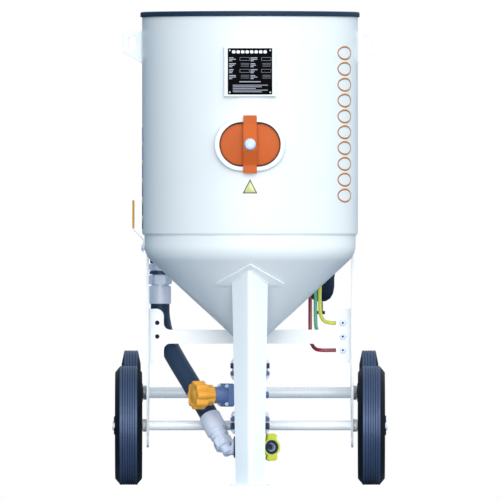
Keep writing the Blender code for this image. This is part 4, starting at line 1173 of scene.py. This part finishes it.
def make_tee():
    left, right = -0.0456, 0.0250
    run = cast(0.0013, moved(turned([(0, left + 0.004), (0.026, left + 0.004), (0.026, right - 0.004),
                                     (0, right - 0.004)]), (0, 0, TEE_Z), RIGHT),
               turned([(0, 0.107), (0.0245, 0.107), (0.0245, 0.150), (0.036, 0.1590), (0, 0.1590)]))
    beads = []
    for start, end in ((left, left + 0.010), (right - 0.010, right)):
        ring = turned([(0.0145, start), (0.0305, start, 0.0025), (0.0305, end, 0.0025), (0.0145, end)])
        beads.append(moved(ring, (0, 0, TEE_Z), RIGHT))
    flange = turned([(0.0145, 0.1568), (FLANGE_R, 0.1568, 0.0012), (FLANGE_R, 0.1747, 0.0012),
                     (0.0145, 0.1747)])
    piece("tee_casting", merged(run, *beads, flange), ["pusher_tee"], sharp=40)
    step = turned([(0.0150, 0.0), (0.0235, 0.0, 0.0006), (0.0235, 0.0030, 0.0006), (0.0190, 0.0036, 0.0004),
                   (0.0190, 0.0056, 0.0004), (0.0150, 0.0060)])
    piece("tee_bush", step, like="lower_elbow", at=(left - 0.0001, 0, TEE_Z), along=-RIGHT)


def make_pusher_line():
    elbow = cast(0.0009, moved(band(0, 0.0150, -0.0115, 0.0125), LOWER_BEND, HOSE_AXIS),
                 moved(band(0, 0.0140, LOWER_BEND.x, -0.0462), (0, 0, 0.0985), RIGHT))
    piece("pusher_elbow", elbow, ["lower_elbow"], sharp=50)

    shank = turned([(0, 0.034), (0.020, 0.034), (0.020, 0.0460), (0.024, 0.0460, 0.001), (0.024, 0.0655, 0),
                    (0.0305, 0.0665, 0.0022),
                    (0.0305, 0.1230, 0.0022), (0, 0.1230)])
    collar = turned([(0.0235, 0.0490), (0.0262, 0.0495, 0.0008), (0.0262, 0.0560, 0.0008), (0.0235, 0.0565)])
    piece("lower_ferrule", merged(shank, collar, hexagon(0.0280, 0.0120, 0.0380)), ["lower_hose_fitting"],
          at=LOWER_BEND, along=HOSE_AXIS)

    riser = middle("upper_hose_fitting")
    end = Vector((riser.x, riser.y, 0.5073))
    knots = [
        LOWER_BEND + HOSE_AXIS * 0.1233,
        LOWER_BEND + HOSE_AXIS * 0.1430,
        (-0.146, 0.099, 0.250),
        (-0.172, 0.134, 0.294),
        (-0.202, 0.176, 0.343),
        (-0.229, 0.219, 0.392),
        (-0.2435, 0.245, 0.430),
        (-0.2505, 0.2570, 0.464),
        (riser.x, riser.y, 0.4850),
        end,
    ]
    piece("pusher_hose_rubber", tube(smooth_route(knots, 0.006), HOSE_R, 48), ["pusher_hose"],
          paint=HOSE_BLACK, sharp=60)

    spot = (riser.x, riser.y, 0)
    ferrule = turned([(0, 0.5076), (0.0305, 0.5076, 0.002), (0.0305, 0.5570, 0.002), (0.024, 0.5585, 0.0005),
                      (0.024, 0.5625), (0, 0.5625)])
    neck = band(0, 0.022, 0.586, 0.5915)
    piece("upper_ferrule", merged(ferrule, hexagon(0.033, 0.562, 0.5886), neck), ["upper_hose_fitting"],
          at=spot)
    dark = turned([(0, 0.5905), (0.030, 0.5905, 0.001), (0.030, 0.5990, 0.001), (0.026, 0.6000),
                   (0.026, 0.6220, 0), (0.0285, 0.6228, 0.001), (0.0285, 0.6340, 0.001), (0, 0.6340)])
    piece("union_rings", dark, like="upper_hose_fitting", paint=DARK_STEEL, at=spot)
    piece("union_nut", hexagon(0.0315, 0.6005, 0.6215), like="upper_hose_fitting", at=spot)


def make_ball_valve():
    centre = JOINT_AT["choke_handle_turn"] - Vector((0, AXIS_Y, 0))
    low, high = box("ball_valve_body")
    bottom, top = low.z - centre.z, high.z - centre.z
    shell = cast(0.0010, turned([(0, -0.022), (0.024, -0.022), (0.030, -0.010), (0.030, 0.010),
                                 (0.024, 0.022), (0, 0.022)]),
                 moved(band(0, 0.0125, 0.0, 0.0385), along=-RIGHT))
    room = 0.0215  # the ball turns inside this radius
    arc = [math.pi * (step / 24 - 0.5) for step in range(25)]
    ball_room = turned([(room * math.cos(angle), room * math.sin(angle)) for angle in arc])
    shell = cut(shell, ball_room, moved(band(0, 0.0066, 0.005, 0.06, 0, 40), along=-RIGHT))
    ends = [hexagon(0.0272, bottom, -room + 0.0002), hexagon(0.0272, room - 0.0002, top)]
    gland = moved(band(0.0064, 0.0105, 0.0370, 0.0400, 0.0006, 40), along=-RIGHT)
    piece("choke_body", merged(shell, *ends, gland), ["ball_valve_body"], at=centre, sharp=40)

    sheet, half = 0.0025, 0.010
    hub, arm = -0.0460, -0.0742
    face = [(hub, -0.014, 0), (hub, 0.024, 0.010), (arm, 0.052, 0.010), (arm, 0.130, 0)]
    rear = [(x - sheet, z - (0.001 if 0 < z < 0.1 else 0), r) for x, z, r in reversed(face)]
    lever = moved(prism(rounded(face + rear, 10), 2 * half, -half), along=FRONT)
    slot = moved(band(0, 0.0063, 0.03, 0.06, 0, 32), along=-RIGHT)
    piece("choke_lever", cut(lever, slot), ["ball_valve_lever"], at=centre, bevel=0.0005, sharp=40)
    stem_nut = moved(merged(band(0, 0.0100, 0.0487, 0.0500, 0.0004, 32), hexagon(0.0085, 0.0500, 0.0525)),
                     along=-RIGHT)
    piece("choke_stem_nut", stem_nut, like="ball_valve_lever", paint=BRIGHT_STEEL, at=centre)

    rings = []
    low, high = box("ball_valve_grip")
    span, deep, wide = high.z - low.z, (high.x - low.x) / 2, (high.y - low.y) / 2
    for step in range(41):
        t = step / 40
        end_round = min(1.0, math.sqrt(max(0.0, 1 - (1 - min(t, 1 - t) / 0.04) ** 2))) if min(t,
            1 - t) < 0.04 else 1.0
        ridge = 1 - 0.06 * (math.sin(t * math.pi * 14) > 0.3)
        w, d = wide * (0.90 + 0.10 * end_round) * ridge, deep * (0.72 + 0.28 * end_round) * ridge
        outline = rounded([(-d, -w, d * 0.9), (d, -w, d * 0.9), (d, w, d * 0.9), (-d, w, d * 0.9)], 5)
        rings.append([(x, y, low.z + span * t) for x, y in outline])
    spot = ((low.x + high.x) / 2, (low.y + high.y) / 2, 0)
    piece("choke_grip", loft(rings), ["ball_valve_grip"], at=spot, sharp=60)


# Air line behind the vessel

AIR = middle("exhaust_silencer").xy.to_3d() + Vector((0, 0, 0.760))  # middle of the automatic air valve
FILTER_PORT_Z = 0.632  # height of the separator's two ports


def make_air_line():
    riser = middle("upper_hose_fitting")
    pipe_r = 0.0168
    header = bent([(riser.x, riser.y, 0.7003), (riser.x, riser.y, AIR.z), (-0.0355, 0.3503, AIR.z)], 0.045,
                  16)
    piece("header_tube", tube(header, pipe_r, 40), ["header_pipe"], sharp=60)
    socket = turned([(pipe_r - 0.001, 0.7005), (0.0215, 0.7005, 0.001), (0.0215, 0.7180, 0.001),
                     (pipe_r - 0.001, 0.7180)])
    piece("header_socket", moved(socket, (riser.x, riser.y, 0)), like="header_pipe", sharp=40)

    body = cast(0.0013, turned([(0, -0.045), (0.022, -0.045), (0.026, -0.038), (0.034, -0.030),
                                (0.034, 0.034), (0, 0.034)]),
                moved(band(0, 0.0160, 0.02, AIR.y - SHELL_R - 0.0083), along=FRONT),
                moved(band(0, 0.0200, 0.02, 0.0325), along=-RIGHT))
    cap = turned([(0, 0.032), (0.040, 0.032, 0.001), (0.040, 0.0445, 0.003), (0, 0.0450)])
    piece("air_valve_casting", merged(body, cap), ["air_valve_body"], at=AIR, sharp=40)
    screws = [moved(bolt(0.0024, 0.0445, 0.0500), (0.0335 * math.cos(a), 0.0335 * math.sin(a), 0))
              for a in [math.pi / 3 * k for k in range(6)]]
    piece("air_valve_screws", merged(*screws), like="air_valve_body", paint=BRIGHT_STEEL, at=AIR)

    fins = []
    for index in range(8):
        z = 0.064 + 0.0088 * index
        fins += [(0.0260, z, 0.0006), (0.0260, z + 0.0055, 0.0006), (0.0225, z + 0.0062, 0),
                 (0.0225, z + 0.0081, 0)]
    can = [(0, 0.0453), (0.012, 0.0453), (0.012, 0.056), (0.024, 0.059, 0.002), *fins,
           (0.0260, 0.1365, 0.002), (0.020, 0.1410, 0.001), (0, 0.1410)]
    piece("silencer_can", turned(can, 64, 2), ["exhaust_silencer"], at=AIR, sharp=40)

    filter_x, filter_y = middle("filter_bowl").xy
    start = Vector((filter_x - 0.0353, filter_y, FILTER_PORT_Z))
    inlet = bent([start, start - RIGHT * 0.040, (0.050, AIR.y, 0.640), (0, AIR.y, 0.655),
                  (0, AIR.y, 0.7147)], 0.022, 10)
    piece("inlet_tube", tube(inlet, 0.0150, 36), ["inlet_pipe"], sharp=60)


def make_filter():
    centre = middle("filter_bowl")
    spot = (centre.x, centre.y, 0)
    head = cast(0.0013, turned([(0, 0.602), (0.035, 0.602), (0.035, 0.655), (0.028, 0.664), (0, 0.664)]),
                moved(band(0, 0.0150, 0.02, 0.050), (0, 0, FILTER_PORT_Z), REAR),
                moved(band(0, 0.0190, 0.02, 0.0350), (0, 0, FILTER_PORT_Z), -RIGHT))
    claw = moved(turned([(0.012, 0.048), (0.022, 0.050, 0.001), (0.022, 0.075, 0.002), (0.012, 0.075)]),
                 (0, 0, FILTER_PORT_Z), REAR)
    piece("separator_head", merged(head, claw), ["filter_head"], at=spot, sharp=40)
    collar = [(0.036, 0.583), (0.039, 0.583, 0.001), (0.039, 0.6017, 0.0008), (0.036, 0.6017)]
    ribs = []
    for index in range(24):
        rib = block((0.0375, -0.0012, 0.586), (0.03985, 0.0012, 0.600), 0.0005)
        ribs.append(spun(rib, math.pi / 12 * index))
    bowl = [
        (0, 0.513),
        (0.014, 0.5145, 0.012),
        (0.027, 0.5225, 0.012),
        (0.0352, 0.537, 0.012),
        (0.0385, 0.556, 0.012),
        (0.0385, 0.584),
        (0.036, 0.584),
        (0.036, 0.557, 0.010),
        (0.0325, 0.540, 0.010),
        (0.025, 0.527, 0.010),
        (0, 0.518),
    ]
    piece("separator_bowl", merged(turned(bowl), turned(collar), *ribs), ["filter_bowl"], paint=BOWL_NAVY,
          at=spot, sharp=40)
    tap = [(0, 0.484), (0.0045, 0.482, 0.0008), (0.0060, 0.488, 0.0008), (0.0060, 0.5127), (0, 0.5127)]
    wings = block((-0.012, -0.0032, 0.478), (0.012, 0.0032, 0.4875), 0.0030)
    piece("separator_tap", merged(turned(tap, 32), wings), ["filter_drain_tap"], at=spot, bevel=0.0005,
          sharp=40)


def make_signal_tubes():
    """Three control tubes from the air valve, down behind the cone, to the fittings in the panel."""
    radius, back = 0.0052, 0.175
    end_x = PORT_X - 0.0165
    runs = {
        "yellow": (0.196, 0.238, 0.738, PORT_HEIGHTS[0]),
        "green": (0.184, 0.242, 0.761, PORT_HEIGHTS[1]),
        "red": (0.169, 0.245, 0.784, PORT_HEIGHTS[2]),
    }
    for name, (x, y, high, low) in runs.items():
        knots = [
            (0.0365, 0.357, high),
            (0.075, 0.352, high - 0.004),
            (x - 0.070, y + 0.090, high - 0.020),
            (x - 0.015, y + 0.045, high - 0.075),
            (x, y, high - 0.150),
            (x, y - 0.012, (high + low) / 2 - 0.050),
            (x, y - 0.020, low + 0.060),
            (x + 0.002, y - 0.030, low + 0.026),
            (x + 0.012, back + 0.012, low + 0.006),
            (x + 0.030, back + 0.001, low),
            (end_x, back, low),
        ]
        piece(f"{name}_signal_tube", tube(smooth_route(knots, 0.004), radius, 20), [f"signal_tube_{name}"],
              sharp=60)
        nipple = turned([(0.0050, 0), (0.0085, 0, 0.0008), (0.0085, 0.009, 0.0008), (0.0066, 0.0125, 0.0004),
                         (0.0050, 0.0125)], 32)
        piece(f"{name}_tube_fitting", nipple, like="bulkhead_manifold", paint=BRIGHT_STEEL,
              at=(0.0350, 0.3575, high), along=RIGHT)


def make_bulkhead():
    """Three bulkhead fittings through the right bracket, on one manifold bar behind it."""
    low, high = box("bulkhead_manifold")
    back = 0.1553
    bar = block((PORT_X - 0.009, back, low.z), (PORT_X + 0.009, high.y, high.z), 0.002)
    piece("manifold_bar", bar, ["bulkhead_manifold"], bevel=0.0008)
    for index, height in enumerate(PORT_HEIGHTS):
        ring = cut(hexagon(0.0105, 0.1443, 0.1497), band(0, 0.0060, 0.1, 0.2, 0, 32))
        stem = turned([(0.0026, 0.1460), (0.0026, 0.1425, 0.0004), (0.0068, 0.1425, 0.0006),
                       (0.0068, 0.1600), (0.0026, 0.1600)], 32)
        # A near-black disc just inside each port: painted shade that stands for the dark of the bore.
        plug = band(0, 0.0031, 0.1424, 0.1440, 0, 24)
        bmesh.ops.scale(plug, verts=plug.verts, vec=(1, 1, -1))
        piece(f"port_{index}_bore", plug, like="bulkhead_manifold", paint=SHADE_BLACK, at=(PORT_X, 0, height),
              along=FRONT)
        socket = turned([(0.0053, 0.0085), (0.0078, 0.0085, 0.0006), (0.0078, 0.0165, 0.0010),
                         (0.0056, 0.0170, 0.0004)], 32)
        at = (PORT_X, 0, height)
        for bm in (ring, stem):
            bmesh.ops.scale(bm, verts=bm.verts, vec=(1, 1, -1))
        piece(f"port_{index}_nut", merged(ring, stem), like="bulkhead_manifold", paint=BRIGHT_STEEL, at=at,
              along=FRONT, sharp=40)
        piece(f"port_{index}_socket", socket, like="bulkhead_manifold", paint=BRIGHT_STEEL,
              at=(PORT_X, 0.175, height), along=-RIGHT)


# Blast outlet

COUPLING_FACE = Vector((0.061, -0.040, TEE_Z))
COUPLING_AXIS = Vector((0.34, -0.94, 0)).normalized()


def make_blast_outlet():
    turn = COUPLING_FACE - COUPLING_AXIS * 0.0425
    length = (COUPLING_FACE - turn).length - 0.0263
    elbow = cast(0.0010, moved(band(0, 0.0175, 0.0256, turn.x + 0.004), (0, 0, TEE_Z), RIGHT),
                 moved(band(0, 0.0172, -0.0080, length), turn, COUPLING_AXIS))
    piece("blast_elbow", elbow, ["outlet_elbow"], sharp=50)

    bore_shade, seat = 0.0118, 0.0198
    ring = turned([(bore_shade, -0.0260), (0.0215, -0.0260, 0.001), (0.0215, -0.0160, 0.001),
                   (0.0255, -0.0130, 0.001), (0.0255, 0.0, 0.0014),
                   (seat, 0.0, 0.0004), (seat, -0.0050), (bore_shade, -0.0050)])
    claws = []
    for sign in (1, -1):
        lug = [(-0.0150, 0.0200, 0), (0.0130, 0.0200, 0), (0.0150, 0.0340, 0.003), (0.0060, 0.0385, 0.003),
               (-0.0130, 0.0370, 0.004)]
        claws.append(prism(rounded([(sign * x, sign * y, r) for x, y, r in lug], 8), 0.0170, -0.0130))
        hook = [(-0.0150, 0.0262, 0.001), (-0.0040, 0.0262, 0.001), (-0.0040, 0.0345, 0.002),
                (-0.0130, 0.0355, 0.003)]
        claws.append(prism(rounded([(sign * x, sign * y, r) for x, y, r in hook], 6), 0.0030, 0.0030))
    piece("claw_coupling", merged(ring, *claws), ["blast_coupling"], at=COUPLING_FACE, along=COUPLING_AXIS,
          bevel=0.0006, sharp=40)
    lip = turned([(0.0120, -0.0047), (seat - 0.0003, -0.0047), (seat - 0.0003, 0.0002, 0.0005),
                  (0.0160, 0.0016, 0.0012), (0.0120, 0.0008, 0.0005)])
    piece("coupling_seal", lip, ["coupling_gasket"], at=COUPLING_FACE, along=COUPLING_AXIS, sharp=50)
    liner = turned([(0.0100, -0.0255), (0.0116, -0.0255), (0.0116, -0.0052), (0.0100, -0.0052)])
    piece("coupling_liner", liner, like="lower_elbow", paint=BRIGHT_STEEL, at=COUPLING_FACE,
          along=COUPLING_AXIS)


def finish_kept_nodes():
    """Each frame node that still shows takes the finish of its slot."""
    for name, obj in frame["nodes"].items():
        obj.data.materials.clear()
        obj.data.materials.append(PAINTS[SLOT_OF[name]])


def build():
    finish_kept_nodes()
    make_camera()
    make_world()
    make_floor()
    make_shell()
    make_bottom_head()
    make_top_head()
    make_rim()
    make_lug("lifting_lug_left", -1)
    make_lug("lifting_lug_right", 1)
    make_popup()
    make_handway()
    make_data_plate()
    make_decals()
    make_leg()
    make_control_panel()
    make_axle("main_axle", 0.0135, 0.0175, "main_wheel_left_spin")
    make_axle("rear_axle", 0.0155, 0.020, "tilt_wheel_left_spin")
    for label, side in (("left", -1), ("right", 1)):
        make_side_plate(f"side_plate_{label}", side)
        make_main_wheel(label, side)
        make_rear_wheel(label)
    make_push_handle()
    make_outlet_line()
    make_metering_knob()
    make_tee()
    make_pusher_line()
    make_ball_valve()
    make_air_line()
    make_filter()
    make_signal_tubes()
    make_bulkhead()
    make_blast_outlet()


build()
